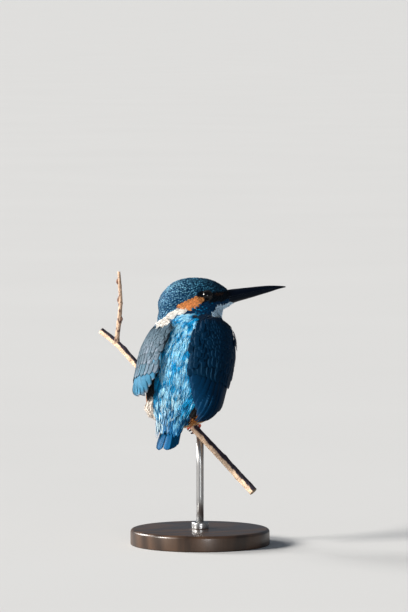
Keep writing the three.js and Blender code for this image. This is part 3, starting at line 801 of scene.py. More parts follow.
def wing_rings(side, inset):
    """Rings of the wing's flesh under its coverts: over the wing less the inset, and down into the trunk."""
    along = np.linspace(33.0, -8.0, 16)[:, None]
    size = wing_size[side](along)
    share = np.linspace(0.04, 0.96, 14)[None]
    angle = mix(size[..., 0], size[..., 1], share)
    top = over_wing(along + 0.0 * share, angle, -inset, side)
    under = over_trunk(along + 0.0 * share, angle, np.full(angle.shape, -2.5), side)
    return np.concatenate([top, under[:, ::-1]], axis=1)


def smoothed(points, edges, rounds):
    """Points drawn towards the mean of their neighbours and let part of the way back, time after time."""
    count = np.bincount(edges.reshape(-1), minlength=len(points))[:, None]
    for step in np.tile([0.6, -0.55], rounds):
        total = np.zeros_like(points)
        np.add.at(total, edges[:, 0], points[edges[:, 1]])
        np.add.at(total, edges[:, 1], points[edges[:, 0]])
        points = points + step * (total / count - points)
    return points


class KF_OT_skin(bpy.types.Operator):
    """Make the one skin of head, neck, trunk, rump and shoulders"""

    bl_idname = "kingfisher.skin"
    bl_label = "Skin"

    def execute(self, context):
        body, head = sizes().coat_body / MM, sizes().coat_head / MM
        rings = [
            ovals(trunk_axes, TRUNK, 40, 64, body),
            ovals(tail_axes, RUMP[:4] + [(-42, 8.6, 3.4, 3.6), (-43.5, 6.4, 1.9, 2.2)], 20, 40, body * 0.8),
            ovals(neck_axes, NECK, 20, 56, body * 0.8),
            ovals(head_axes, HEAD, 40, 56, head),
            wing_rings(1, 0.9),
            wing_rings(-1, 0.9),
        ]
        points, faces = joined([closed(part) for part in rings])
        rough = put("skin_rough", points, faces)
        remesh = rough.modifiers.new("Remesh", "REMESH")
        remesh.mode = "VOXEL"
        remesh.voxel_size = sizes().voxel
        even = rough.evaluated_get(context.evaluated_depsgraph_get()).to_mesh()
        points = np.empty(len(even.vertices) * 3, np.float32)
        even.vertices.foreach_get("co", points)
        points = points.reshape(-1, 3).astype(float) / MM
        edges = np.empty(len(even.edges) * 2, np.int32)
        even.edges.foreach_get("vertices", edges)
        corners = np.empty(len(even.loops), np.int32)
        even.loops.foreach_get("vertex_index", corners)
        starts = np.empty(len(even.polygons), np.int32)
        even.polygons.foreach_get("loop_start", starts)
        rough.to_mesh_clear()
        bpy.data.objects.remove(rough)
        counts = np.diff(np.append(starts, len(corners)))
        faces = [
            corners[starts[counts == size][:, None] + np.arange(size)]
            for size in np.unique(counts)
        ]
        points = smoothed(points, edges.reshape(-1, 2), 9)
        zone = zones(points)
        skin = put(
            "skin",
            points,
            faces,
            ("head", "neck", "trunk", "rump", "wing_left", "wing_right"),
            ground_colour(points, zone),
        )
        skin.data.materials.append(skin_material())
        unwrap(context, skin)
        return {"FINISHED"}


def unwrap(context, piece):
    """An unwrap of the piece's own shape by the way that its faces look, kept as OFBake."""
    piece.data.uv_layers.new(name="OFBake")
    context.view_layer.objects.active = piece
    piece.select_set(True)
    bpy.ops.object.mode_set(mode="EDIT")
    bpy.ops.mesh.select_all(action="SELECT")
    bpy.ops.uv.smart_project(angle_limit=1.2, island_margin=0.004)
    bpy.ops.object.mode_set(mode="OBJECT")
    piece.select_set(False)


class Skin:
    """The finished skin's points, normals and unwrap, and a tree to find its nearest place."""

    kept = None

    def __init__(self):
        mesh = bpy.data.objects["skin"].data
        self.points = np.empty(len(mesh.vertices) * 3, np.float32)
        mesh.vertices.foreach_get("co", self.points)
        self.points = self.points.reshape(-1, 3).astype(float) / MM
        self.normals = np.empty(len(mesh.vertices) * 3, np.float32)
        mesh.vertex_normals.foreach_get("vector", self.normals)
        self.normals = self.normals.reshape(-1, 3).astype(float)
        corners = np.empty(len(mesh.loops), np.int32)
        mesh.loops.foreach_get("vertex_index", corners)
        laid = np.empty(len(mesh.loops) * 2, np.float32)
        mesh.uv_layers["OFBake"].uv.foreach_get("vector", laid)
        self.laid = np.zeros((len(self.points), 2))
        self.laid[corners] = laid.reshape(-1, 2)
        starts = np.empty(len(mesh.polygons), np.int32)
        mesh.polygons.foreach_get("loop_start", starts)
        polygons = np.split(corners, starts[1:])
        self.tree = BVHTree.FromPolygons(self.points.tolist(), [p.tolist() for p in polygons])
        self.near = KDTree(len(self.points))
        for index, place in enumerate(self.points.tolist()):
            self.near.insert(place, index)
        self.near.balance()

    @classmethod
    def read(cls):
        """The skin as it was read first."""
        if cls.kept is None:
            cls.kept = cls()
        return cls.kept

    def nearest(self, points):
        """The nearest places on the skin, and its normals there."""
        found = [self.tree.find_nearest(p) for p in points.tolist()]
        return np.array([f[0][:] for f in found]), np.array([f[1][:] for f in found])

    def spread(self, allowed, spacing, rng):
        """Skin points taken in a shuffled order, each at least its own spacing from those before."""
        order = rng.permutation(np.nonzero(allowed)[0])
        free = np.zeros(len(self.points), bool)
        free[order] = True
        taken = []
        for index in order.tolist():
            if free[index]:
                taken.append(index)
                for _, other, _ in self.near.find_range(self.points[index], float(spacing[index])):
                    free[other] = False
        return np.array(taken)

    def patches(self, points):
        """Where the roots of feathers lie on the unwrap."""
        return self.laid[[self.near.find(p)[1] for p in points.tolist()]]


def lie(points, normals):
    """The lie of the coat: back from the bill over the head, then down the body to the tail."""
    side, h, a = head_axes.into(points)
    t, _ = trunk_place(points)
    on_head = smooth(-20.0, -7.0, h) * smooth(-30.0, -16.0, a + 0.4 * h) * smooth(140.0, 147.0, points[..., 2])
    back = -head_axes.along[None] * np.ones((len(points), 1)) + np.array([0.0, 0.0, -0.25])
    down = -trunk_axes.along[None] * np.ones((len(points), 1))
    tail_ward = unit(tail_axes.out(0.0, 0.0, -62.0) - points)
    down = mix(down, tail_ward, smooth(0.0, -34.0, t)[:, None])
    flow = mix(down, back, on_head[:, None])
    flow = flow - np.sum(flow * normals, axis=-1, keepdims=True) * normals
    return unit(flow)


# ------------------------------------------------------------------ feathers


def section(kind):
    """The cross-section of a vane as (across, up) from the left edge over the top and back beneath."""
    if kind == "vane":
        return np.array([(-1, 0), (-0.55, 0.55), (0, 1), (0.55, 0.55), (1, 0), (0, -0.25)], float)
    return np.array([(-1, -0.2), (0, 1), (1, -0.2)], float)


def vanes(spine, across, up, half, thick, shape):
    """Closed vanes: at each step of each spine (n, m, 3), the section scaled by half across and thick up.

    Returns the points as (n, m, k, 3), the faces, and for each face corner its place across and along.
    """
    n, m = spine.shape[:2]
    k = len(shape)
    points = (
        spine[:, :, None]
        + across[:, :, None] * (half[..., None] * shape[:, 0])[..., None]
        + up[:, :, None] * (thick[..., None] * shape[:, 1])[..., None]
    )
    i, j = np.meshgrid(np.arange(m - 1), np.arange(k), indexing="ij")
    follow = (j + 1) % k
    quads = np.stack([i * k + j, i * k + follow, (i + 1) * k + follow, (i + 1) * k + j], axis=-1).reshape(-1, 4)
    caps = np.stack([np.arange(k)[::-1], (m - 1) * k + np.arange(k)])
    start = (np.arange(n) * m * k)[:, None, None]
    quads_all = (quads[None] + start).reshape(-1, 4)
    caps_all = (caps[None] + start).reshape(-1, k)
    round_it = np.stack([j, j + 1, j + 1, j], axis=-1).reshape(-1, 4) / k
    length = np.stack([i, i, i + 1, i + 1], axis=-1).reshape(-1, 4) / (m - 1)
    quad_place = np.stack([round_it, length], axis=-1)
    ring = np.arange(k) / k
    cap_place = np.stack([np.stack([ring[::-1], np.zeros(k)], axis=-1), np.stack([ring, np.ones(k)], axis=-1)])
    places = [np.tile(quad_place, (n, 1, 1)), np.tile(cap_place, (n, 1, 1))]
    whole, faces = facing_out(points.reshape(-1, 3), [quads_all, caps_all])
    if faces[0] is not quads_all:
        places = [rows[:, ::-1] for rows in places]
    return points, faces, places


def vane_maps(n, faces, places, roots, shape, strands=1):
    """UV maps of vanes: Vane runs across and along each one; OFBake holds each in a small patch at its root.

    A feather of several strands shares one patch, a strip for each strand.
    """
    patch = 0.003
    values, vane = [], []
    for rows, place in zip(faces, places):
        each = len(rows) // n
        owner = np.repeat(np.arange(n), each)
        strip = (owner % strands)[:, None]
        x = (strip + 0.06 + 0.88 * place[..., 0]) / strands - 0.5
        y = place[..., 1] - 0.5
        corner = roots[owner // strands][:, None] + patch * np.stack([x, y], axis=-1)
        values.append(corner.reshape(-1, 2))
        k = len(shape)
        index = np.round(place[..., 0] * k).astype(int) % k
        vane.append(np.stack([0.5 + 0.5 * shape[index, 0], place[..., 1]], axis=-1).reshape(-1, 2))
    return {"Vane": np.concatenate(vane), "OFBake": np.concatenate(values)}


def march(skin, roots, flow, length, steps, lift, rng, waver=6.0):
    """Spines that follow the skin: each step goes on along the lie and is drawn back to the skin.

    lift (n, steps + 1) is the height over the skin. Returns spine, across and up arrays.
    """
    place, normal = skin.nearest(roots)
    lean = np.radians(rng.normal(0.0, waver, len(roots)))
    own = turn(flow, normal, lean)
    spine, ups, acrosses = [], [], []
    for step in range(steps + 1):
        spine.append(place + normal * lift[:, step : step + 1])
        ups.append(normal)
        acrosses.append(unit(np.cross(own, normal)))
        place, normal_next = skin.nearest(place + own * (length / steps)[:, None])
        normal = unit(normal + normal_next)
        wanted = turn(lie(place, normal), normal, lean)
        own = unit(own + wanted)
        own = unit(own - np.sum(own * normal, axis=-1, keepdims=True) * normal)
    return np.stack(spine, 1), np.stack(acrosses, 1), np.stack(ups, 1)


def oval_outline(v, widest=0.62, point=0.5):
    """Half width along a vane: up to 1 at the widest place and round to the tip."""
    rising = np.sin(0.5 * np.pi * np.clip(v / widest, 0.0, 1.0)) ** 0.7
    falling = np.sqrt(np.clip(1.0 - ((v - widest) / (1.0 - widest)) ** 2, 0.0, 1.0)) ** (2.0 * point)
    return np.clip(np.where(v < widest, 0.25 + 0.75 * rising, falling), 0.06, 1.0)


def coat(name, material, skin, roots, length, half, rise, paint, rng, steps=5, widest=0.62, waver=6.0, base=-0.25):
    """A coat of small vanes rooted at places on the skin. paint(root, v, x) gives their colours."""
    n = len(roots)
    v = np.linspace(0.0, 1.0, steps + 1)
    _, normal = skin.nearest(roots)
    flow = lie(roots, normal)
    lift = base + (rise[:, None] - base) * v**0.85
    spine, across, up = march(skin, roots, flow, length, steps, lift, rng, waver)
    outline = oval_outline(v, widest)
    frayed = 1.0 + rng.uniform(-0.10, 0.06, (n, steps + 1)) * (v > 0.4)
    widths = half[:, None] * outline * frayed
    thick = np.full((n, steps + 1), 0.16) * (0.4 + 0.6 * outline)
    shape = section("vane")
    points, faces, places = vanes(spine, across, up, widths, thick, shape)
    colours = paint(np.arange(n)[:, None, None], v[None, :, None], shape[None, None, :, 0])
    maps = vane_maps(n, faces, places, skin.patches(roots), shape)
    piece = put(name, points.reshape(-1, 3), faces, (), colours.reshape(-1, 3), maps)
    piece.data.materials.append(material)
    return piece


def plumes(name, material, skin, roots, length, half, rise, paint, rng, strands=5, steps=4, waver=9.0, base=-0.2, width=0.3):
    """A loose coat: each feather is a fan of strands from one root, parted towards the tip."""
    n = len(roots)
    v = np.linspace(0.0, 1.0, steps + 1)
    _, normal = skin.nearest(roots)
    flow = lie(roots, normal)
    lift = base + (rise[:, None] - base) * v**0.8
    spine, across, up = march(skin, roots, flow, length, steps, lift, rng, waver)
    offset = np.linspace(-1.0, 1.0, strands)[None] + rng.normal(0.0, 0.13, (n, strands))
    fan = (0.35 + 0.65 * np.sin(np.pi * np.clip(v * 0.8 + 0.1, 0.0, 1.0)))[None, None]
    aside = offset[..., None] * half[:, None, None] * fan
    short = 1.0 - 0.16 * np.abs(offset) + rng.normal(0.0, 0.05, (n, strands))
    s = np.clip(short[..., None] * v, 0.0, 1.0) * steps
    low = np.clip(np.floor(s).astype(int), 0, steps - 1)
    part = (s - low)[..., None]
    who = np.arange(n)[:, None, None]
    centre = mix(spine[who, low], spine[who, low + 1], part)
    sideways = unit(mix(across[who, low], across[who, low + 1], part))
    upward = unit(mix(up[who, low], up[who, low + 1], part))
    ruffle = rng.normal(0.0, 0.12, (n, strands, 1)) * v
    centre = centre + sideways * aside[..., None] + upward * (ruffle - 0.10 * aside**2)[..., None]
    flat = (n * strands, steps + 1)
    outline = np.clip(np.sin(np.pi * np.clip(0.22 + 0.8 * v, 0.0, 1.0)), 0.08, 1.0)
    widths = np.broadcast_to(width * outline, flat) * rng.uniform(0.75, 1.25, (flat[0], 1))
    thick = np.broadcast_to(0.14 * outline + 0.02, flat)
    shape = section("strand")
    points, faces, places = vanes(
        centre.reshape(*flat, 3), sideways.reshape(*flat, 3), upward.reshape(*flat, 3), widths, thick, shape
    )
    owner = np.repeat(np.arange(n), strands)
    colours = paint(owner[:, None, None], v[None, :, None], np.tile(offset.reshape(-1)[:, None, None], (1, 1, 3)))
    maps = vane_maps(flat[0], faces, places, skin.patches(roots), shape, strands)
    piece = put(name, points.reshape(-1, 3), faces, (), colours.reshape(-1, 3), maps)
    piece.data.materials.append(material)
    return piece


def full(value, *arrays):
    """A value spread to the joint shape of the arrays, with room for a colour."""
    shape = np.broadcast_shapes(*(np.shape(a) for a in arrays))
    return np.broadcast_to(value, (*shape, 3))


class KF_OT_head_coat(bpy.types.Operator):
    """Lay the small feathers of head, neck and throat"""

    bl_idname = "kingfisher.head_coat"
    bl_label = "Head feathers"

    def execute(self, context):
        rng = np.random.default_rng(SEED + 1)
        skin = Skin.read()
        zone = zones(skin.points)
        side, h, a = head_axes.into(skin.points)
        in_bill = (a > 21.5) & (h > -4.6) & (h < 3.0)
        eye = np.linalg.norm(np.stack([a - EYE_AT["along"], h - EYE_AT["up"]], -1), axis=-1)
        on_eye = (eye < 3.7) & (np.abs(side) > 7.0)
        face = smooth(2.0, 18.0, a)
        spacing = np.select(
            [zone == CROWN, zone == LORES, zone == EAR, zone == BLAZE_ZONE, zone == MALAR, zone == THROAT],
            [mix(1.0, 0.76, face), 0.72, 1.0, 1.05, 0.95, 1.0],
            2.0,
        )
        near_eye = smooth(6.0, 3.0, eye)
        spacing = mix(spacing, 0.68, near_eye * (np.abs(side) > 7.0))
        allowed = (zone <= THROAT) & ~in_bill & ~on_eye
        taken = skin.spread(allowed, spacing, rng)
        roots, zone, gap = skin.points[taken], zone[taken], spacing[taken]
        a, h, eye = a[taken], h[taken], eye[taken]
        ground = ground_colour(roots, zone) * rng.uniform(0.84, 1.16, (len(taken), 1))
        # Painted highlight: the crown's bars turn paler towards the nape, for light from behind.
        paler = smooth(8.0, -14.0, a)[:, None] * 0.55
        bar = mix(colour("crown_bar"), np.array([0.48, 0.86, 1.0]), paler) * rng.uniform(0.2, 1.35, (len(taken), 1))
        spotted = (zone == MALAR) & (a > -3.0) & (rng.random(len(taken)) < mix(0.6, 0.1, smooth(-1.0, 7.0, a)))
        bar[spotted] = colour("azure") * rng.uniform(0.5, 1.6, (int(spotted.sum()), 1))
        # Painted shade: the crown's bars are fainter low on its sides.
        low_band = mix(0.55, 1.0, smooth(3.0, 7.5, h + 0.25 * (a + 4.0)))
        strength = np.where(zone == CROWN, mix(0.3, 0.9, smooth(17.0, 6.0, a)) * low_band, 0.8) * ((zone == CROWN) | spotted)

        def barred(index):
            def paint(who, v, x):
                base = full(ground[index[who]] * mix(0.75, 1.05, v)[..., None], who, v, x)
                band = smooth(0.5, 0.72, v) * smooth(1.0, 0.9, v) * smooth(0.75, 0.3, np.abs(x))
                return mix(base, bar[index[who]], (band * strength[index[who]])[..., None])

            return paint

        scaly = np.nonzero((zone == CROWN) | (zone == LORES) | (zone == MALAR))[0]
        length = gap * 2.8 * rng.uniform(0.9, 1.1, len(taken))
        rise = np.interp(gap, [0.68, 1.1], [0.32, 0.5]) * rng.uniform(0.8, 1.2, len(taken))
        material = feather_material("Head feathers", 40.0, 0.10, 0.5, gleam=0.2, tint=(0.45, 0.8, 1.0))
        coat(
            "head_scales", material, skin, roots[scaly], length[scaly], gap[scaly] * 0.8, rise[scaly],
            barred(scaly), rng, steps=5, widest=0.58,
        )
        soft = np.nonzero((zone == EAR) | (zone == BLAZE_ZONE) | (zone == THROAT))[0]
        own = zone[soft]
        near_bill = smooth(13.0, 21.0, a[soft])
        length = np.select([own == EAR, own == BLAZE_ZONE], [3.0, 3.0], mix(3.2, 2.2, near_bill)) * rng.uniform(0.88, 1.12, len(soft))
        rise = np.select([own == EAR, own == BLAZE_ZONE], [0.7, 1.0], mix(1.0, 0.35, near_bill)) * rng.uniform(0.85, 1.12, len(soft))

        def streaked(who, v, x):
            base = ground[soft[who]] * mix(0.84, 1.05, smooth(0.0, 0.8, v))[..., None]
            return full(base * (1.0 + 0.06 * np.sin(7.0 * x + who))[..., None], who, v, x)

        soft_material = feather_material("Face plumes", 14.0, 0.05, 0.8)
        plumes(
            "head_soft_plumes", soft_material, skin, roots[soft], length, np.full(len(soft), 0.95), rise,
            streaked, rng, strands=5, steps=4, waver=4.0, width=0.28,
        )
        return {"FINISHED"}


def back_palette(rng, count, points, strands):
    """Colours of the back's strands: cobalt, azure and sky by seeded chance, paler along the middle, partly the back's
    own blue and partly painted sun glints.
    """
    _, angle = trunk_place(points)
    pale = smooth(34.0, 6.0, np.abs(angle + 4.0)) * 0.22 + 0.20 + 0.22 * ripple(points, 7.0, 12)
    feather = np.repeat(rng.random(count // strands), strands)
    chance = 0.62 * feather + 0.38 * rng.random(count)
    dark = mix(colour("cobalt"), colour("azure"), rng.uniform(0.1, 0.7, count)[:, None])
    middle = colour("azure") * rng.uniform(0.8, 1.35, count)[:, None]
    light = mix(colour("azure"), colour("sky"), rng.uniform(0.45, 1.0, count)[:, None])
    rows = np.where((chance < pale + 0.12)[:, None], light, middle)
    rows = np.where((chance > pale + 0.42)[:, None], dark, rows)
    # Painted light on the rump: near-white strands as painted sun glints, fading to azure towards the right side, and
    # very dark strands as painted shade in the gaps between them.
    low = smooth(-6.0, -24.0, trunk_place(points)[0])[:, None]
    painted_glint = np.clip(mix(colour("sky"), colour("white"), 0.35), 0.0, 1.0)
    painted_glint = mix(painted_glint, colour("azure"), smooth(4.0, 26.0, trunk_place(points)[1])[:, None])
    glints_and_gaps = np.where(chance[:, None] < 0.31, painted_glint, np.where(chance[:, None] > 0.55, colour("cobalt") * 0.6, rows))
    return mix(rows, glints_and_gaps, low * 0.85)


class KF_OT_back_coat(bpy.types.Operator):
    """Lay the loose azure plumes of the back and rump"""

    bl_idname = "kingfisher.back_coat"
    bl_label = "Back plumes"

    def execute(self, context):
        rng = np.random.default_rng(SEED + 2)
        skin = Skin.read()
        zone = zones(skin.points)
        t, angle = trunk_place(skin.points)
        spacing = np.interp(t, [-40, -10, 15, 30], [1.75, 1.9, 1.6, 1.25])
        taken = skin.spread(zone == BACK, spacing, rng)
        roots = skin.points[taken]
        t = t[taken]
        strands = 7
        length = np.interp(t, [-43, -38, -28, 0, 16, 30], [3.5, 5.0, 10.0, 11.0, 8.5, 5.5]) * rng.uniform(0.82, 1.18, len(taken))
        half = np.interp(t, [-40, 0, 30], [1.5, 1.8, 1.3])
        rise = np.interp(t, [-40, 0, 30], [1.1, 1.5, 1.0]) * rng.uniform(0.7, 1.3, len(taken))
        inner = wing_size[-1](t)[:, 0] + angle[taken]
        rise = rise + 1.5 * smooth(13.0, 4.0, inner) * smooth(-14.0, 0.0, inner) * smooth(-6.0, 4.0, t) * smooth(33.0, 27.0, t)
        each = back_palette(rng, len(taken) * strands, np.repeat(roots, strands, axis=0), strands)
        position = np.arange(len(taken) * strands)[:, None, None]

        def paint(who, v, x):
            base = each[position] * mix(0.55, 1.1, smooth(0.0, 0.55, v))[..., None]
            return full(base, who, v, x)

        material = feather_material("Back plumes", 18.0, 0.08, 0.42, gleam=0.5, tint=(0.40, 0.85, 1.0))
        plumes("back_plumes", material, skin, roots, length, half, rise, paint, rng, strands=strands, steps=5, waver=7.0, width=0.30)
        return {"FINISHED"}


class KF_OT_breast_coat(bpy.types.Operator):
    """Lay the soft rufous feathers of breast, belly, flanks and vent"""

    bl_idname = "kingfisher.breast_coat"
    bl_label = "Underparts"

    def execute(self, context):
        rng = np.random.default_rng(SEED + 3)
        skin = Skin.read()
        zone = zones(skin.points)
        t, angle = trunk_place(skin.points)
        spacing = np.interp(t, [-40, 0, 36], [1.9, 2.0, 1.55])
        spacing = np.where(zone == CREAM, 0.85, spacing)
        taken = skin.spread(np.isin(zone, (BREAST, VENT, SCAPULAR, PAINTED_SHADOW, CREAM)), spacing, rng)
        roots, zone, t, angle = skin.points[taken], zone[taken], t[taken], angle[taken]
        length = np.interp(t, [-44, -30, 0, 36], [6.0, 8.0, 7.0, 4.6]) * rng.uniform(0.85, 1.15, len(taken))
        length = length * np.where(zone == CREAM, mix(0.62, 0.36, smooth(-27.0, -30.5, t)), 1.0)
        length = length * mix(1.0, 0.42, smooth(-25.0, -31.0, t) * smooth(44.0, 58.0, np.abs(angle)) * (zone != CREAM))
        half = np.interp(t, [-40, 0, 36], [1.9, 2.0, 1.5]) * np.where(zone == CREAM, 0.6, 1.0)
        hidden = smooth(40.0, 75.0, angle) * smooth(-40.0, -30.0, t)
        under_wing = np.zeros(len(taken))
        for way, size in wing_size.items():
            _, outer, _ = np.moveaxis(size(np.clip(t, -9.0, 33.0)), -1, 0)
            under_wing = np.maximum(under_wing, smooth(2.0, -3.0, way * angle - outer) * (way * angle > 20.0))
        under_wing = under_wing * smooth(-27.0, -22.0, t) * (zone != CREAM)
        rise = np.interp(t, [-40, 0, 36], [1.0, 1.5, 1.1]) * mix(1.0, 0.45, hidden) + 1.3 * (zone == CREAM) * smooth(-31.0, -27.0, t)
        rise = rise * rng.uniform(0.7, 1.2, len(taken)) * mix(1.0, 0.2, under_wing)
        ground = ground_colour(roots, zone) * rng.uniform(0.86, 1.16, (len(taken), 1))

        def paint(who, v, x):
            base = ground[who] * mix(0.6, 1.12, smooth(0.1, 0.9, v))[..., None]
            return full(base * (1.0 + 0.05 * np.sin(9.0 * x))[..., None], who, v, x)

        material = feather_material("Soft underparts", 14.0, 0.10, 0.75, sheen=0.15)
        plumes("breast_plumes", material, skin, roots, length, half, rise, paint, rng, strands=5, steps=4, width=0.42)
        return {"FINISHED"}


def laid_vanes(name, material, replaced, spine, across, up, half, thick, paint, maps_of, steps_out):
    """Vanes whose spines are already known, painted by (who, v, x)."""
    shape = section("vane")
    points, faces, places = vanes(spine, across, up, half, thick, shape)
    n, m = spine.shape[:2]
    v = np.linspace(0.0, 1.0, m)
    colours = paint(np.arange(n)[:, None, None], v[None, :, None], shape[None, None, :, 0])
    piece = put(name, points.reshape(-1, 3), faces, replaced, colours.reshape(-1, 3), maps_of(n, faces, places, shape))
    piece.data.materials.append(material)
    return piece


def strips(n, faces, places, shape):
    """Maps for large feathers: Vane as on small ones, and OFBake with an upright strip for each feather."""
    maps = vane_maps(n, faces, places, np.zeros((n, 2)), shape)
    laid = []
    for rows, place in zip(faces, places):
        owner = np.repeat(np.arange(n), len(rows) // n)[:, None]
        laid.append(np.stack([(owner + 0.04 + 0.92 * place[..., 0]) / n, 0.02 + 0.96 * place[..., 1]], -1).reshape(-1, 2))
    maps["OFBake"] = np.concatenate(laid)
    return maps


def wing_spines(side, along, angle, rise):
    """Spines on the wing at arrays (n, m) of place and rise, with the ways across and up at each step."""
    spine = over_wing(along, angle, rise, side)
    flow = unit(np.gradient(spine, axis=1))
    aside = unit(over_wing(along, angle + 1.0, rise, side) - spine)
    up = unit(np.cross(aside, flow)) * side
    outward = spine - trunk_axes.out(0.0, 0.0, along)
    up = up * np.sign(np.sum(up * outward, axis=-1, keepdims=True))
    return spine, unit(np.cross(flow, up)), up


def wing_ground(side, name, along):
    """A wing's ground colour: the left one is painted paler and greyer as painted sheen from low sun, most of all along
    its middle.
    """
    if side > 0:
        return colour(name) + 0.0 * along
    painted_sheen = smooth(30.0, 12.0, along) * mix(1.0, 0.62, smooth(0.0, -20.0, along))
    return mix(colour(name), colour("lit_wing"), 0.35 + 0.5 * painted_sheen)


class KF_OT_wing_coverts(bpy.types.Operator):
    """Lay the rows of coverts over each folded wing, and the scapulars beside the back"""

    bl_idname = "kingfisher.wing_coverts"
    bl_label = "Wing coverts"

    def execute(self, context):
        material = feather_material("Wing coverts", 46.0, 0.12, 0.6, gleam=0.14, tint=(0.25, 0.70, 1.0))
        skin = Skin.read()
        for title, side in (("right", 1), ("left", -1)):
            rng = np.random.default_rng(SEED + 4 + side)
            # Each row: [where its roots are along the back, length, half width, height of the tips].
            rows = [(2.0, 14.0, 2.5, 0.20), (7.0, 11.5, 2.2, 0.20), (11.5, 9.5, 2.0, 0.20)]
            rows += [(14.5 + 2.1 * i, 7.4 - 0.42 * i, 1.75 - 0.09 * i, 0.22) for i in range(8)]
            along, angle, length, half, rise, kind = [], [], [], [], [], []
            for number, (place, long, wide, high) in enumerate(rows):
                inner, outer, _ = wing_size[side](np.array(place))
                reach = trunk_size(np.array(place))[0] + 3.0
                count = max(int(np.radians(outer - inner) * reach / (wide * 1.32)), 3)
                spread = np.linspace(inner + 1.5, outer - 2.0, count) + (number % 2) * 0.5 * (outer - inner) / count
                spread = spread + rng.normal(0.0, 0.5, count)
                along.append(place + rng.normal(0.0, 0.35, count))
                angle.append(spread)
                length.append(long * rng.uniform(0.93, 1.07, count))
                half.append(np.full(count, wide))
                rise.append(high * rng.uniform(0.85, 1.15, count))
                kind.append(np.full(count, number))
            # Scapulars: long feathers from the shoulder along the wing's inner edge.
            count = 34
            shoulder = np.sort(rng.uniform(2.0, 29.0, count))
            inner = np.maximum(wing_size[side](shoulder)[:, 0], 20.0)
            along.append(shoulder)
            angle.append(inner + rng.uniform(1.0, 16.0, count))
            length.append(rng.uniform(7.0, 10.5, count))
            half.append(np.full(count, 1.9))
            rise.append(rng.uniform(0.35, 0.55, count) if side > 0 else rng.uniform(0.12, 0.24, count))
            kind.append(np.full(count, 20))
            along, angle, length, half, rise, kind = map(np.concatenate, (along, angle, length, half, rise, kind))
            body = zones(over_wing(along, angle, -0.3, side)) >= BACK
            along, angle, length, half, rise, kind = (rows[body] for rows in (along, angle, length, half, rise, kind))
            tuft = (side > 0) & (angle > 86.0) & (along > 22.0) & (along < 30.0)
            rise = rise + 0.85 * tuft
            steps = 9
            v = np.linspace(0.0, 1.0, steps + 1)
            t = along[:, None] - length[:, None] * v
            drift = np.where(angle > 60.0, -0.35, 0.1)[:, None] * length[:, None] * v
            lifted = -0.32 + (rise[:, None] + 0.32) * v**0.8 + 0.08 * np.sin(np.pi * v)
            spine, across, up = wing_spines(side, t, angle[:, None] + drift, lifted)
            frayed = 1.0 + rng.uniform(-0.09, 0.05, (len(along), steps + 1)) * (v > 0.5)
            widths = half[:, None] * oval_outline(v, 0.68, 0.5) * frayed
            thick = np.full_like(widths, 0.09) * (0.4 + 0.6 * oval_outline(v))
            roots = spine[:, 0]
            shade = rng.uniform(0.86, 1.16, (len(along), 1))
            ground = wing_ground(side, "teal", along[:, None] - 0.6 * length[:, None]) * shade
            spot = np.maximum(colour("azure") * rng.uniform(0.03, 0.14, (len(along), 1)), ground * 1.5)
            # Painted sheen on the left wing alone: pale lavender spots and greyer grounds where low sun catches the
            # coverts, and a turquoise cast on the lowest rows.
            if side < 0:
                sheen_glints = (rng.random((len(along), 1)) ** 0.7) * smooth(21.0, 9.0, along)[:, None]
                spot = mix(spot, np.array([0.52, 0.50, 0.58]), sheen_glints)
                ground = mix(ground, np.array([0.30, 0.34, 0.42]), 0.6 * sheen_glints * rng.random((len(along), 1)))
                low = smooth(4.5, 0.5, along)[:, None] * rng.uniform(0.2, 1.0, (len(along), 1))
                ground = mix(ground, np.array([0.055, 0.20, 0.30]), 0.7 * low)
            strength = np.where(kind >= 3, 0.5, np.where(kind == 0, 0.3, 0.4)) * (rng.random(len(along)) < 0.75)
            strength = np.where(kind >= 20, 0.1, strength)

            def paint(who, v, x, ground=ground, spot=spot, strength=strength, side=side):
                base = full(ground[who] * mix(0.85, 1.08, v)[..., None], who, v, x)
                # Paler edges, much more on the left wing as painted sheen, where the tip spots also spread wider.
                edge = smooth(0.5, 1.0, np.abs(x)) * 0.3 * v
                base = mix(base, base * (1.2 if side > 0 else 1.5), edge[..., None])
                dot = smooth(0.80, 0.93, v) * smooth(0.7 if side < 0 else 0.5, 0.1, np.abs(x)) * strength[who]
                return mix(base, spot[who], dot[..., None])

            def patches(n, faces, places, shape, roots=roots):
                return vane_maps(n, faces, places, skin.patches(roots), shape)

            laid_vanes(f"wing_coverts_{title}", material, (), spine, across, up, widths, thick, paint, patches, None)
        return {"FINISHED"}


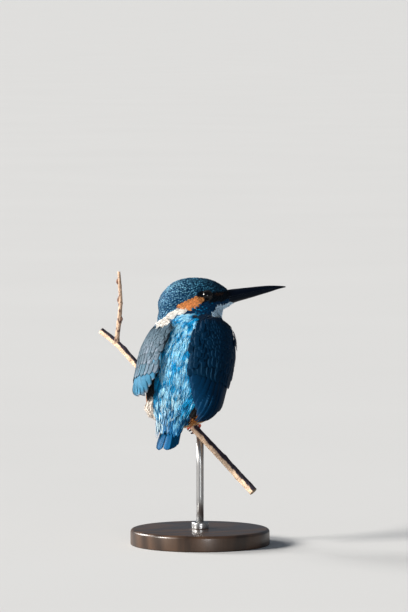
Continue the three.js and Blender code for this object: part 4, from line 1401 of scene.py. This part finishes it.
class KF_OT_quills(bpy.types.Operator):
    """Lay the flight feathers of each wing, the innermost on top"""

    bl_idname = "kingfisher.quills"
    bl_label = "Flight feathers"

    def execute(self, context):
        material = feather_material("Flight feathers", 150.0, 0.12, 0.55, gleam=0.12, bump=0.2, tint=(0.25, 0.70, 1.0))
        for title, side in (("right", 1), ("left", -1)):
            rng = np.random.default_rng(SEED + 9 + side)
            tips = np.array(QUILL_TIPS[side], float)
            n = len(tips)
            order = np.arange(n) / (n - 1.0)
            inner, outer, _ = wing_size[side](np.array(4.0))
            root_angle = mix(inner + 3.0, outer - 5.0, order)
            root_along = mix(5.0, 1.0, order)
            steps = 24
            v = np.linspace(0.0, 1.0, steps + 1)
            t = mix(root_along[:, None], tips[:, :1], v)
            angle = mix(root_angle[:, None], tips[:, 1:], smooth(-0.1, 1.1, v)[None])
            rise = -0.9 + 0.9 * (1.0 - order)[:, None] + 0.3 * np.sin(np.pi * v)
            spine, across, up = wing_spines(side, t, angle, rise - 0.35)
            widths = mix(3.1, 3.4, order)[:, None] * oval_outline(v, 0.72, 0.42 if side > 0 else 0.26)
            thick = np.full((n, steps + 1), 0.30) * (0.35 + 0.65 * oval_outline(v, 0.7))
            # Painted sheen: the left wing's quills are painted lighter and more turquoise, as if lit by low sun.
            ground = wing_ground(side, "quill", np.full((n, 1), -6.0)) * np.array([0.75, 1.75, 2.2] if side < 0 else [1.0, 1.0, 1.0])
            ground = ground * rng.uniform(0.9, 1.12, (n, 1))

            def paint(who, v, x, ground=ground, side=side):
                base = full(ground[who] * mix(0.8, 1.2, v)[..., None], who, v, x)
                web = smooth(-0.1, 0.9, x * side * -1.0) * 0.5
                base = mix(base, base * 0.35, web[..., None])
                # Pale outer edges and pale tips, marked on the left wing as painted sheen and highlight, faint on the
                # right.
                edge = smooth(0.6, 1.0, x * side) * (0.15 if side > 0 else 0.35)
                base = mix(base, full(ground[who] * 2.0, who, v, x), edge[..., None])
                tip = smooth(0.95, 0.985, v) * (0.7 if side < 0 else 0.05)
                return mix(base, full(np.array([0.62, 0.56, 0.53]), who, v, x), tip[..., None])

            laid_vanes(
                f"quills_{title}", material, (f"wing_{title}_quills",), spine, across, up, widths, thick, paint,
                strips, None,
            )
        return {"FINISHED"}


class KF_OT_tail(bpy.types.Operator):
    """Lay the twelve tail feathers, the middle pair on top, and the coverts over their roots"""

    bl_idname = "kingfisher.tail"
    bl_label = "Tail"

    def execute(self, context):
        rng = np.random.default_rng(SEED + 14)
        pair = np.repeat(np.arange(6), 2)
        sign = np.tile([-1.0, 1.0], 6)
        steps = 22
        v = np.linspace(0.0, 1.0, steps + 1)
        out_tip = sign * (3.0 + pair * 0.66)
        out_root = sign * (1.6 + pair * 0.75)
        reach = -55.8 + 0.22 * pair + 0.022 * pair**3
        t = mix(-31.0, reach[:, None], v)
        out = mix(out_root[:, None], out_tip[:, None], v**0.8)
        arch = -1.8 * (out / 8.4) ** 2
        height = arch + 0.75 - 0.26 * pair[:, None] + 0.12 * (sign[:, None] > 0)
        spine = tail_axes.out(out, height, t)
        flow = unit(np.gradient(spine, axis=1))
        lean = np.arctan2(3.6 * out / 70.6, 1.0)
        up = unit(tail_axes.up[None, None] * np.cos(lean)[..., None] + tail_axes.right * np.sin(lean)[..., None])
        across = unit(np.cross(flow, up))
        up = np.cross(across, flow)
        widths = np.full((12, 1), 2.85) * (0.6 + 0.4 * np.sqrt(v)) * np.sqrt(np.clip(1.0 - smooth(0.90, 1.0, v) ** 2.6, 0.02, 1.0))
        thick = np.full((12, steps + 1), 0.24)
        ground = colour("tail") * rng.uniform(0.9, 1.15, (12, 1))

        def paint(who, v, x):
            base = full(ground[who] * mix(0.85, 1.2, v)[..., None], who, v, x)
            dark = smooth(0.7, 1.0, np.abs(x)) * 0.5 + smooth(0.94, 1.0, v) * 0.3
            base = mix(base, full(colour("cobalt") * 0.25, who, v, x), np.clip(dark, 0.0, 1.0)[..., None])
            shaft = smooth(0.2, 0.0, np.abs(x)) * 0.4
            return mix(base, full(np.array([0.004, 0.02, 0.06]), who, v, x), shaft[..., None])

        material = feather_material("Tail feathers", 120.0, 0.12, 0.5, gleam=0.12, bump=0.2, tint=(0.3, 0.65, 1.0))
        laid_vanes("tail_feathers", material, ("tail",), spine, across, up, widths, thick, paint, strips, None)
        self.coverts(rng)
        return {"FINISHED"}

    def coverts(self, rng):
        """Rows of broad coverts on the rump, each row over the roots of the next."""
        skin = Skin.read()
        size = through(RUMP)
        # Each row: [along the back, length, half width, feathers].
        rows = [(-38.5, 7.4, 1.15, 13), (-36.5, 8.2, 1.1, 14), (-34.5, 8.6, 1.05, 14), (-32.5, 8.6, 1.0, 15), (-30.0, 8.4, 1.0, 13)]
        t0, angle, length, half = [], [], [], []
        for number, (place, long, wide, count) in enumerate(rows):
            t0.append(place + rng.normal(0.0, 0.7, count))
            angle.append(np.linspace(-86.0, 84.0, count) + (number % 2) * 6.0 + rng.normal(0.0, 3.0, count))
            side_by = smooth(35.0, 75.0, np.abs(angle[-1]))
            length.append(long * rng.uniform(0.78, 1.18, count) * mix(1.0, 1.08, side_by))
            half.append(wide * mix(1.0, 1.25, side_by))
        t0, angle, length, half = map(np.concatenate, (t0, angle, length, half))
        steps = 8
        v = np.linspace(0.0, 1.0, steps + 1)
        t = t0[:, None] - length[:, None] * v
        wide, top, _ = np.moveaxis(size(np.clip(t, -50.0, -20.0)), -1, 0)
        shrink = np.clip((t + 50.0) / -6.0, 0.0, 1.0)
        top = mix(top, 1.6, shrink)
        lift = -0.9 + 1.15 * v**0.8 + rng.normal(0.0, 0.12, (len(t0), 1)) * v + 0.5 * smooth(-40.0, -75.0, angle)[:, None] * v
        turned = np.radians(angle)[:, None]
        spine = tail_axes.out((wide + lift) * np.sin(turned), (top + lift) * np.cos(turned), t)
        flow = unit(np.gradient(spine, axis=1))
        outward = unit(spine - tail_axes.out(0.0 * t, -6.0, t))
        across = unit(np.cross(flow, outward))
        up = np.cross(across, flow)
        widths = half[:, None] * oval_outline(v, 0.5, 0.85)
        thick = np.full_like(widths, 0.16)
        # Painted light: coverts on the left are painted towards near white as if sunlit, and those on the right stay
        # dark cobalt as if shaded.
        light = smooth(26.0, -14.0, angle)[:, None] * rng.uniform(0.0, 1.35, (len(t0), 1)).clip(0.0, 1.0)
        tone = mix(mix(colour("cobalt"), colour("azure"), 0.10), mix(colour("sky"), colour("white"), 0.35), light**1.4)
        blue = (rng.random((len(t0), 1)) < 0.25) & (angle[:, None] > 6.0)
        tone = np.where(blue, mix(colour("azure"), colour("sky"), 0.35), tone)

        def paint(who, v, x):
            base = full(tone[who] * mix(0.2, 1.1, smooth(0.1, 0.85, v))[..., None], who, v, x)
            rim = np.clip(smooth(0.4, 0.9, np.abs(x)) * 0.85, 0.0, 1.0)
            return mix(base, full(colour("cobalt") * 0.5, who, v, x), rim[..., None])

        material = feather_material("Tail coverts", 46.0, 0.14, 0.4, gleam=0.4, tint=(0.40, 0.85, 1.0))

        def patches(n, faces, places, shape):
            return vane_maps(n, faces, places, skin.patches(spine[:, 0]), shape)

        laid_vanes("tail_coverts", material, (), spine, across, up, widths, thick, paint, patches, None)


# ------------------------------------------------------------------ bill, eyes and feet


class KF_OT_bill(bpy.types.Operator):
    """Make the two mandibles with their ridges, the line where they meet and the nostrils"""

    bl_idname = "kingfisher.bill"
    bl_label = "Bill"

    def execute(self, context):
        material = horn_material("Bill horn", (0.0006, 0.0012, 0.0035), (0.0018, 0.0036, 0.0095), 0.22)
        for name, side, column in (("bill_upper", 1.0, 1), ("bill_lower", -1.0, 3)):
            along = np.linspace(16.0, 58.4, 60)[:, None]
            size = through(BILL)(along[:, 0])
            width, meet, outer = size[:, :1], size[:, 2:3] + side * 0.04, size[:, column : column + 1]
            angle = np.linspace(-0.5 * np.pi, 0.5 * np.pi, 27)[None]
            depth = np.maximum(np.abs(outer - meet), 0.14)
            ridge = 1.0 + 0.05 * np.exp(-((angle / 0.16) ** 2))
            x = width * np.sin(angle) * (1.0 - 0.10 * np.cos(angle) ** 2)
            y = meet + side * depth * np.cos(angle) ** 0.92 * ridge
            groove = np.exp(-(((np.abs(angle) - 1.22) / 0.10) ** 2)) * 0.10 * smooth(56.0, 30.0, along)
            x = x * (1.0 - groove * 0.35)
            if side > 0:
                slit = np.exp(-(((along - 24.6) / 1.7) ** 4) - (((np.abs(angle) - 0.86) / 0.10) ** 2))
                x = x * (1.0 - 0.16 * slit)
                y = y - 0.22 * slit
            arch = head_axes.out(x, y, along + 0.0 * angle)
            back = np.linspace(0.94, -0.94, 9)[None]
            floor = head_axes.out(width * back, meet + side * 0.12 + 0.0 * back, along + 0.0 * back)
            points, faces = closed(np.concatenate([arch, floor], axis=1))
            piece = put(name, points, faces, (name,))
            piece.data.materials.append(material)
        return {"FINISHED"}


class KF_OT_eyes(bpy.types.Operator):
    """Make each eye with its pupil and iris, and the bare lids round it"""

    bl_idname = "kingfisher.eyes"
    bl_label = "Eyes"

    def execute(self, context):
        gloss = eye_material()
        lid_skin = painted_material("Lids", 0.5, 1500.0, 0.5)
        for title, side in (("left", -1.0), ("right", 1.0)):
            centre = head_axes.out(side * EYE_AT["side"], EYE_AT["up"], EYE_AT["along"])
            outward = unit(head_axes.right * side + 0.12 * head_axes.along + 0.03 * head_axes.up)
            upward = unit(head_axes.up - outward * (head_axes.up @ outward))
            forward = np.cross(upward, outward) * side
            polar = np.linspace(0.02, np.pi - 0.02, 30)[:, None]
            round_it = (np.arange(40) * 2.0 * np.pi / 40)[None]
            bulge = 1.0 + 0.03 * np.exp(-((polar / 0.55) ** 2))
            ball = centre + EYE_RADIUS * 0.99 * (
                (bulge * np.sin(polar) * np.cos(round_it))[..., None] * forward
                + (bulge * np.sin(polar) * np.sin(round_it))[..., None] * upward
                + (bulge * np.cos(polar) + 0.0 * round_it)[..., None] * outward
            )
            points, faces = closed(ball)
            away = np.arccos(np.clip(unit(points - centre) @ outward, -1.0, 1.0))
            iris = smooth(0.50, 0.56, away) * smooth(1.05, 0.9, away)
            colours = mix(np.array([0.001, 0.001, 0.0015]), np.array([0.0036, 0.0017, 0.0011]), iris[:, None])
            eye = put(f"eye_{title}", points, faces, (f"eye_{title}",), colours)
            eye.data.materials.append(gloss)
            # The lids: a ring on the ball, longer than it is high, drawn to a corner in front and behind.
            turn_by = (np.arange(56) * 2.0 * np.pi / 56)[:, None]
            corner = np.abs(np.cos(turn_by)) ** 6
            open_by = 0.90 + 0.08 * corner - 0.06 * np.sin(turn_by) ** 2
            around = np.linspace(0.0, 2.0 * np.pi, 17)[None, :-1]
            fold = 0.30 + 0.07 * np.cos(3.0 * around)
            reach = EYE_RADIUS + 0.02 + fold * np.cos(around) * 0.8
            spread = open_by + 0.13 + 0.15 * np.sin(around)
            lid = centre + reach[..., None] * (
                (np.sin(spread) * np.cos(turn_by))[..., None] * forward
                + (np.sin(spread) * np.sin(turn_by))[..., None] * upward
                + np.cos(spread)[..., None] * outward
            )
            points = lid.reshape(-1, 3)
            i, j = np.meshgrid(np.arange(56), np.arange(16), indexing="ij")
            follow, wrap = (i + 1) % 56, (j + 1) % 16
            quads = np.stack([i * 16 + j, follow * 16 + j, follow * 16 + wrap, i * 16 + wrap], axis=-1).reshape(-1, 4)
            points, faces = facing_out(points - centre, [quads])
            rim = put(f"lids_{title}", points + centre, faces, (), np.full((len(points), 3), 0.0035))
            rim.data.materials.append(lid_skin)
        return {"FINISHED"}


def perch_curve():
    """The perch's centre line as points, and the radius at each."""
    chord = np.concatenate([[0.0], np.cumsum(np.linalg.norm(np.diff(np.array(PERCH), axis=0), axis=1))])
    s = np.linspace(0.0, chord[-1], 400)
    line = through(np.column_stack([chord, PERCH]).tolist())(s)
    return line, mix(PERCH_RADIUS[0], PERCH_RADIUS[1], s / chord[-1])


def perch_at(x):
    """The perch's own axes where it passes x: its place, forward, up and along, and its radius."""
    line, radius = perch_curve()
    i = int(np.argmax(line[:, 0] >= x))
    along = unit(line[i + 1] - line[i - 1])
    forward = unit(np.cross([0.0, 0.0, 1.0], along))
    return line[i], forward, np.cross(along, forward), along, radius[i]


class KF_OT_feet(bpy.types.Operator):
    """Make the scaly toes round the perch, their claws and the short tarsi"""

    bl_idname = "kingfisher.feet"
    bl_label = "Feet"

    def execute(self, context):
        scales = painted_material("Foot skin", 0.42, 1500.0, 0.7, contrast=0.22, gloss=0.15)
        claw_horn = horn_material("Claw horn", (0.010, 0.007, 0.006), (0.05, 0.032, 0.024), 0.3)
        red = np.array([0.80, 0.12, 0.042])
        for title, x in FEET.items():
            place, forward, up, along, radius = perch_at(x)

            def on_perch(angle, sideways, out):
                angle = np.radians(np.asarray(angle, float))[..., None]
                return place + out * (np.sin(angle) * forward + np.cos(angle) * up) + sideways * along

            reach = radius + 0.95 + 0.2
            for name, sideways, first, last in TOES:
                steps, sides = 40, 18
                s = np.linspace(0.0, 1.0, steps + 1)[:, None]
                around = (np.arange(sides) * 2.0 * np.pi / sides)[None]
                pads = 1.0 + 0.13 * np.cos(2.0 * np.pi * s * 3.0) * smooth(-0.2, 0.6, np.cos(around))
                scutes = 1.0 + 0.035 * np.sin(2.0 * np.pi * s * 15.0) * smooth(0.1, 0.9, -np.cos(around))
                taper = 1.0 - 0.24 * s - 0.5 * smooth(0.97, 1.0, s) - 0.4 * smooth(0.04, 0.0, s)
                points = on_perch(mix(first, last, np.linspace(0, 1, 9)), sideways, reach)
                inward = np.array(place) + sideways * along
                rings = along_curve(points, (0.93, 0.93), steps, sides, ends=along, swell=pads * scutes * taper)
                toe_points, faces = closed(rings)
                rows = toe_points - inward
                # Painted shade: the toes are darker and duller on the side that grips the perch, where the toe meets
                # the twig.
                low = smooth(reach + 0.6, reach - 0.6, np.linalg.norm(rows - (rows @ along)[:, None] * along, axis=-1))
                tint = mix(red, red * np.array([0.85, 0.7, 0.7]), low[:, None])
                toe = put(f"toe_{title}_{name}", toe_points, faces, (f"toe_{title}_{name}",), tint)
                toe.data.materials.append(scales)
                way = math.copysign(1.0, last - first)
                arc = np.linspace(last + way * 3.0, last + way * 50.0, 8)
                hook = np.array([on_perch(v, sideways, reach - 0.1 + 0.25 * math.sin(i * 0.45)) for i, v in enumerate(arc)])
                size = (1.0 - 0.86 * np.linspace(0.0, 1.0, 19) ** 1.2)[:, None] * np.ones((1, 12))
                claw_points, faces = closed(along_curve(hook, (0.58, 0.58), 18, 12, ends=along, swell=size))
                claw = put(f"claw_{title}_{name}", claw_points, faces, (f"claw_{title}_{name}",))
                claw.data.materials.append(claw_horn)
            heel = on_perch(0.0, 0.0, radius + 0.9)
            ankle = on_perch(0.0, 0.0, radius + 2.2 + 8.0)
            belly = trunk_axes.out(-7.0 if title == "left" else 7.0, -8.0, -18.0)
            knee = mix(heel, ankle, 0.45)
            top = mix(knee, belly, 0.5)
            steps, sides = 30, 20
            s = np.linspace(0.0, 1.0, steps + 1)[:, None]
            around = (np.arange(sides) * 2.0 * np.pi / sides)[None]
            ringed = 1.0 + 0.03 * np.sin(2.0 * np.pi * s * 11.0) + 0.12 * smooth(0.2, 0.0, s) + 0.0 * around
            leg_points, faces = closed(along_curve([heel, knee, top], (1.12, 1.35), steps, sides, ends=along, swell=ringed))
            leg = put(f"tarsus_{title}", leg_points, faces, (f"tarsus_{title}",), np.tile(red, (len(leg_points), 1)))
            leg.data.materials.append(scales)
        return {"FINISHED"}


# ------------------------------------------------------------------ perch and stand


def bark_colours(points, centres, radius):
    """Bark: dark and purplish along the upper right and pale tan below, blotched along the twig. The two tones are
    partly the bark's own colour and partly painted light: painted shade on the upper right, painted sunlight on the
    lower left.
    """
    up = (points - centres) @ np.array([0.70, 0.0, 0.714]) / radius
    edge = up + 0.10 * ripple(points, 9.0, 31) + 0.08 * ripple(points, 2.6, 32)
    upper = np.array([0.026, 0.019, 0.034]) * (1.0 + 0.35 * ripple(points, 4.0, 33))[:, None]
    under = np.array([0.90, 0.64, 0.45]) * (1.0 + 0.18 * ripple(points, 5.0, 34))[:, None]
    return np.clip(mix(under, upper, smooth(0.0, 0.18, edge)[:, None]), 0.004, 1.0)


class KF_OT_perch(bpy.types.Operator):
    """Make the cut twig with its knots, and its side shoot with buds"""

    bl_idname = "kingfisher.perch"
    bl_label = "Perch"

    def execute(self, context):
        bark = painted_material("Bark", 0.8, 420.0, 0.9, contrast=0.35, distance=0.0005)
        steps, sides = 260, 40
        line, radius = perch_curve()
        s = np.linspace(0.0, 1.0, steps + 1)
        around = np.arange(sides) * 2.0 * np.pi / sides
        u, w = np.meshgrid(s, around, indexing="ij")
        swell = np.ones_like(u)
        for place, side, size in ((0.135, 1.2, 0.20), (0.30, 4.0, 0.10), (0.47, 2.6, 0.08), (0.80, 0.6, 0.16), (0.90, 3.6, 0.10)):
            swell += size * np.exp(-(((u - place) / 0.012) ** 2)) * (0.5 + 0.5 * np.cos(w - side))
        swell += 0.025 * np.sin(7.0 * w + 9.0 * np.sin(11.0 * u)) + 0.02 * np.sin(130.0 * u + 3.0 * np.cos(w * 2.0))
        swell *= 0.955
        rings = along_curve(PERCH, PERCH_RADIUS, steps, sides, swell=swell)
        points, faces = closed(rings)
        middle = rings.mean(axis=1)
        centres = np.concatenate([np.repeat(middle, sides, axis=0), middle[:1], middle[-1:]])
        size = np.concatenate([np.repeat(mix(*PERCH_RADIUS, s), sides), PERCH_RADIUS])
        colours = bark_colours(points, centres, size)
        cut = np.array([0.55, 0.42, 0.26])
        colours[-2:] = cut
        colours[:sides] = mix(colours[:sides], cut, 0.3)
        colours[-2 - sides : -2] = mix(colours[-2 - sides : -2], cut, 0.3)
        branch = put("perch_branch", points, faces, ("perch_branch",), colours)
        branch.data.materials.append(bark)
        self.shoot(bark)
        return {"FINISHED"}

    def shoot(self, bark):
        """The side shoot: a thinner tube, with pointed buds set against it."""
        steps, sides = 140, 24
        s = np.linspace(0.0, 1.0, steps + 1)[:, None]
        around = (np.arange(sides) * 2.0 * np.pi / sides)[None]
        swell = 1.0 + 0.35 * smooth(0.10, 0.0, s) + 0.05 * np.sin(5.0 * around + 20.0 * s)
        for place in (0.30, 0.56, 0.80):
            swell = swell + 0.22 * np.exp(-(((s - place) / 0.02) ** 2))
        swell = swell * 0.92
        rings = along_curve(SHOOT, SHOOT_RADIUS, steps, sides, swell=swell)
        parts = [closed(rings)]
        for place, way, height in ((0.56, -1.0, 4.6), (0.82, -1.0, 4.2), (0.30, 1.0, 3.6)):
            i = int(place * steps)
            start = rings[i].mean(axis=0)
            grow = unit(rings[i + 1].mean(axis=0) - start)
            side = np.array([0.93, -0.36, 0.0]) * way
            bud = [start + side * 0.5, start + side * 1.5 + grow * height * 0.45, start + side * 1.4 + grow * height]
            b = np.linspace(0.0, 1.0, 17)[:, None]
            plump = np.clip(np.sin(np.pi * (0.12 + 0.88 * b)) ** 0.8, 0.05, 1.0) * (1.0 + 0.08 * np.sin(40.0 * b))
            parts.append(closed(along_curve(bud, (0.85, 0.85), 16, 12, swell=plump * np.ones((1, 12)))))
        points, faces = joined(parts)
        tone = np.array([0.62, 0.42, 0.29]) * (1.0 + 0.22 * ripple(points, 6.0, 41))[:, None]
        colours = np.clip(mix(tone, np.array([0.13, 0.065, 0.055]), smooth(0.35, 0.95, ripple(points, 3.0, 42))[:, None]), 0.004, 1.0)
        start = len(parts[0][0])
        colours[start:] = np.array([0.20, 0.10, 0.07])
        piece = put("perch_shoot", points, faces, ("perch_shoot",), colours)
        piece.data.materials.append(bark)


def lathe(profile, sides=96):
    """Rings of a profile [(radius, height)] turned about the upright axis."""
    profile = np.array(profile, float)
    angle = np.arange(sides) * 2.0 * np.pi / sides
    return np.stack(
        [profile[:, :1] * np.cos(angle), profile[:, :1] * np.sin(angle), profile[:, 1:] + 0.0 * angle], axis=-1
    )


def rounded(radius, low, high, edge, steps=8):
    """A turned disc's profile, its two corners rounded: [(radius, height)] from below."""
    turn_by = np.linspace(0.0, 0.5 * np.pi, steps)
    foot = np.column_stack([radius - 0.4 * edge + 0.4 * edge * np.sin(turn_by), low + 0.4 * edge - 0.4 * edge * np.cos(turn_by)])
    top = np.column_stack([radius - edge + edge * np.cos(turn_by), high - edge + edge * np.sin(turn_by)])
    return [(0.02, low), *foot.tolist(), *top.tolist(), (0.02, high)]


class KF_OT_stand(bpy.types.Operator):
    """Make the turned base, the collar and the rod up to the perch"""

    bl_idname = "kingfisher.stand"
    bl_label = "Display stand"

    def execute(self, context):
        points, faces = closed(lathe(rounded(44.0, 0.0, 10.0, 2.0)))
        base = put("stand_base", points, faces, ("stand_base",))
        base.data.materials.append(wood_material())
        steel = steel_material()
        points, faces = closed(lathe(rounded(5.5, 10.05, 14.3, 1.0), 64))
        collar = put("stand_collar", points, faces, ("stand_collar",))
        collar.data.materials.append(steel)
        place, _, _, along, radius = perch_at(0.0)
        slope = -along[:2] / along[2]
        rings = lathe([(0.02, 10.2), (2.3, 10.2), (2.3, 30.0), (2.3, 50.0)], 48)
        top = rings[-1:].copy()
        drop = radius / max(math.hypot(along[0], along[1]), 0.3)
        top[..., 2] = place[2] - drop + 0.9 + (top[..., :2] @ along[:2]) * along[2] / max(along[0] ** 2 + along[1] ** 2, 0.1)
        rings = np.concatenate([rings, top, top.mean(axis=1, keepdims=True) + 0.02 * (top - top.mean(axis=1, keepdims=True))])
        points, faces = closed(rings)
        rod = put("stand_rod", points, faces, ("stand_rod",))
        rod.data.materials.append(steel)
        return {"FINISHED"}


# ------------------------------------------------------------------ stage


class KingfisherStage(bpy.types.PropertyGroup):
    """Camera and light."""

    elevation: bpy.props.FloatProperty(
        name="Elevation", description="Angle of the camera above level", default=math.radians(4.0), subtype="ANGLE"
    )
    distance: bpy.props.FloatProperty(
        name="Distance", description="From the camera to the bird", default=3.0, min=0.5, unit="LENGTH", subtype="DISTANCE"
    )
    pixel: bpy.props.FloatProperty(
        name="Grain of the frame", description="Width of one picture point at the bird", default=0.00063, min=0.0001, unit="LENGTH", subtype="DISTANCE"
    )
    key: bpy.props.FloatProperty(name="Key light", description="Strength of the low light from the left", default=5.0, min=0.0)
    rim: bpy.props.FloatProperty(name="Rim light", description="Strength of the light from the left and behind", default=3.2, min=0.0)
    glint: bpy.props.FloatProperty(name="Glint light", description="Strength of the weak light near the camera", default=0.6, min=0.0)
    air: bpy.props.FloatProperty(name="Air", description="Strength of the light from all round", default=0.16, min=0.0)


class KF_OT_stage(bpy.types.Operator):
    """Make the floor, the soft lights and the camera"""

    bl_idname = "kingfisher.stage"
    bl_label = "Stage"

    def execute(self, context):
        scene = context.scene
        settings = scene.kingfisher_stage
        angle = np.arange(64) * 2.0 * np.pi / 64
        points = np.concatenate([np.stack([np.cos(angle), np.sin(angle), 0.0 * angle], axis=-1) * 60.0, [[0.0, 0.0, 0.0]]])
        mesh = bpy.data.meshes.new("floor")
        mesh.from_pydata(points.tolist(), [], [(i, (i + 1) % 64, 64) for i in range(64)])
        floor = bpy.data.objects.new("floor", mesh)
        mesh.materials.append(stage_material())
        scene.collection.objects.link(floor)

        world = bpy.data.worlds.new("Studio")
        world.use_nodes = True
        air = world.node_tree
        soft = air.nodes["Background"]
        soft.inputs["Color"].default_value = (0.70, 0.84, 1.0, 1.0)
        soft.inputs["Strength"].default_value = settings.air
        seen = node(air, "ShaderNodeBackground", {"Color": (0.86, 0.87, 0.88, 1.0), "Strength": 0.80})
        ray = node(air, "ShaderNodeLightPath")
        either = node(air, "ShaderNodeMixShader")
        air.links.new(ray.outputs["Is Camera Ray"], either.inputs[0])
        air.links.new(soft.outputs[0], either.inputs[1])
        air.links.new(seen.outputs[0], either.inputs[2])
        air.links.new(either.outputs[0], air.nodes["World Output"].inputs["Surface"])
        scene.world = world
        scene.view_settings.view_transform = "Standard"

        # Each light: how far round to the left of the camera, how high, its width (degrees) and strength.
        for name, left, high, width, strength, tint in (
            ("key", 66.0, 23.0, 16.0, settings.key, (1.0, 0.96, 0.90)),
            ("rim", 118.0, 24.0, 26.0, settings.rim, (1.0, 0.98, 0.95)),
            ("glint", -12.0, 5.0, 11.0, settings.glint, (1.0, 1.0, 1.0)),
        ):
            left, high = math.radians(left), math.radians(high)
            way = Vector((-math.sin(left) * math.cos(high), -math.cos(left) * math.cos(high), math.sin(high)))
            light = bpy.data.lights.new(name, "SUN")
            light.angle = math.radians(width)
            light.energy = strength
            light.color = tint
            lamp = bpy.data.objects.new(name, light)
            lamp.location = way * 2.0
            lamp.rotation_euler = (-way).to_track_quat("-Z", "Y").to_euler()
            scene.collection.objects.link(lamp)

        # The frame is 408 by 612 points; its middle is 2.5 mm right of the origin and 150.9 mm up.
        camera = bpy.data.cameras.new("camera")
        camera.sensor_fit = "VERTICAL"
        camera.sensor_height = 36.0
        camera.lens = 36.0 * settings.distance / (612 * settings.pixel)
        camera.clip_end = 200.0
        eye = bpy.data.objects.new("camera", camera)
        centre = Vector((0.0025, 0.0, 0.1509))
        look = Vector((0.0, math.cos(settings.elevation), -math.sin(settings.elevation)))
        eye.location = centre - look * settings.distance
        eye.rotation_euler = look.to_track_quat("-Z", "Y").to_euler()
        scene.collection.objects.link(eye)
        scene.camera = eye
        return {"FINISHED"}


# ------------------------------------------------------------------ the add-on

PIECES = (
    "stage",
    "stand",
    "perch",
    "skin",
    "bill",
    "eyes",
    "feet",
    "head_coat",
    "back_coat",
    "breast_coat",
    "wing_coverts",
    "quills",
    "tail",
)


class KF_PT_panel(bpy.types.Panel):
    """The kingfisher's sizes, colours and pieces"""

    bl_idname = "KF_PT_panel"
    bl_label = "Kingfisher"
    bl_space_type = "VIEW_3D"
    bl_region_type = "UI"
    bl_category = "Kingfisher"

    def draw(self, context):
        for group in (context.scene.kingfisher_sizes, context.scene.kingfisher_colours, context.scene.kingfisher_stage):
            box = self.layout.box()
            for title in group.bl_rna.properties.keys():
                if title not in ("rna_type", "name"):
                    box.prop(group, title)
        for title in PIECES:
            self.layout.operator(f"kingfisher.{title}")


CLASSES = (
    KingfisherSizes,
    KingfisherColours,
    KingfisherStage,
    KF_OT_skin,
    KF_OT_head_coat,
    KF_OT_back_coat,
    KF_OT_breast_coat,
    KF_OT_wing_coverts,
    KF_OT_quills,
    KF_OT_tail,
    KF_OT_bill,
    KF_OT_eyes,
    KF_OT_feet,
    KF_OT_perch,
    KF_OT_stand,
    KF_OT_stage,
    KF_PT_panel,
)


def register():
    for cls in CLASSES:
        bpy.utils.register_class(cls)
    bpy.types.Scene.kingfisher_sizes = bpy.props.PointerProperty(type=KingfisherSizes)
    bpy.types.Scene.kingfisher_colours = bpy.props.PointerProperty(type=KingfisherColours)
    bpy.types.Scene.kingfisher_stage = bpy.props.PointerProperty(type=KingfisherStage)


def unregister():
    del bpy.types.Scene.kingfisher_stage
    del bpy.types.Scene.kingfisher_colours
    del bpy.types.Scene.kingfisher_sizes
    for cls in reversed(CLASSES):
        bpy.utils.unregister_class(cls)


def corners(box):
    """A box as plain lists of numbers."""
    return [[float(v) for v in corner] for corner in box]


def main():
    register()
    for title in PIECES:
        getattr(bpy.ops.kingfisher, title)()


if __name__ == "__main__":
    main()
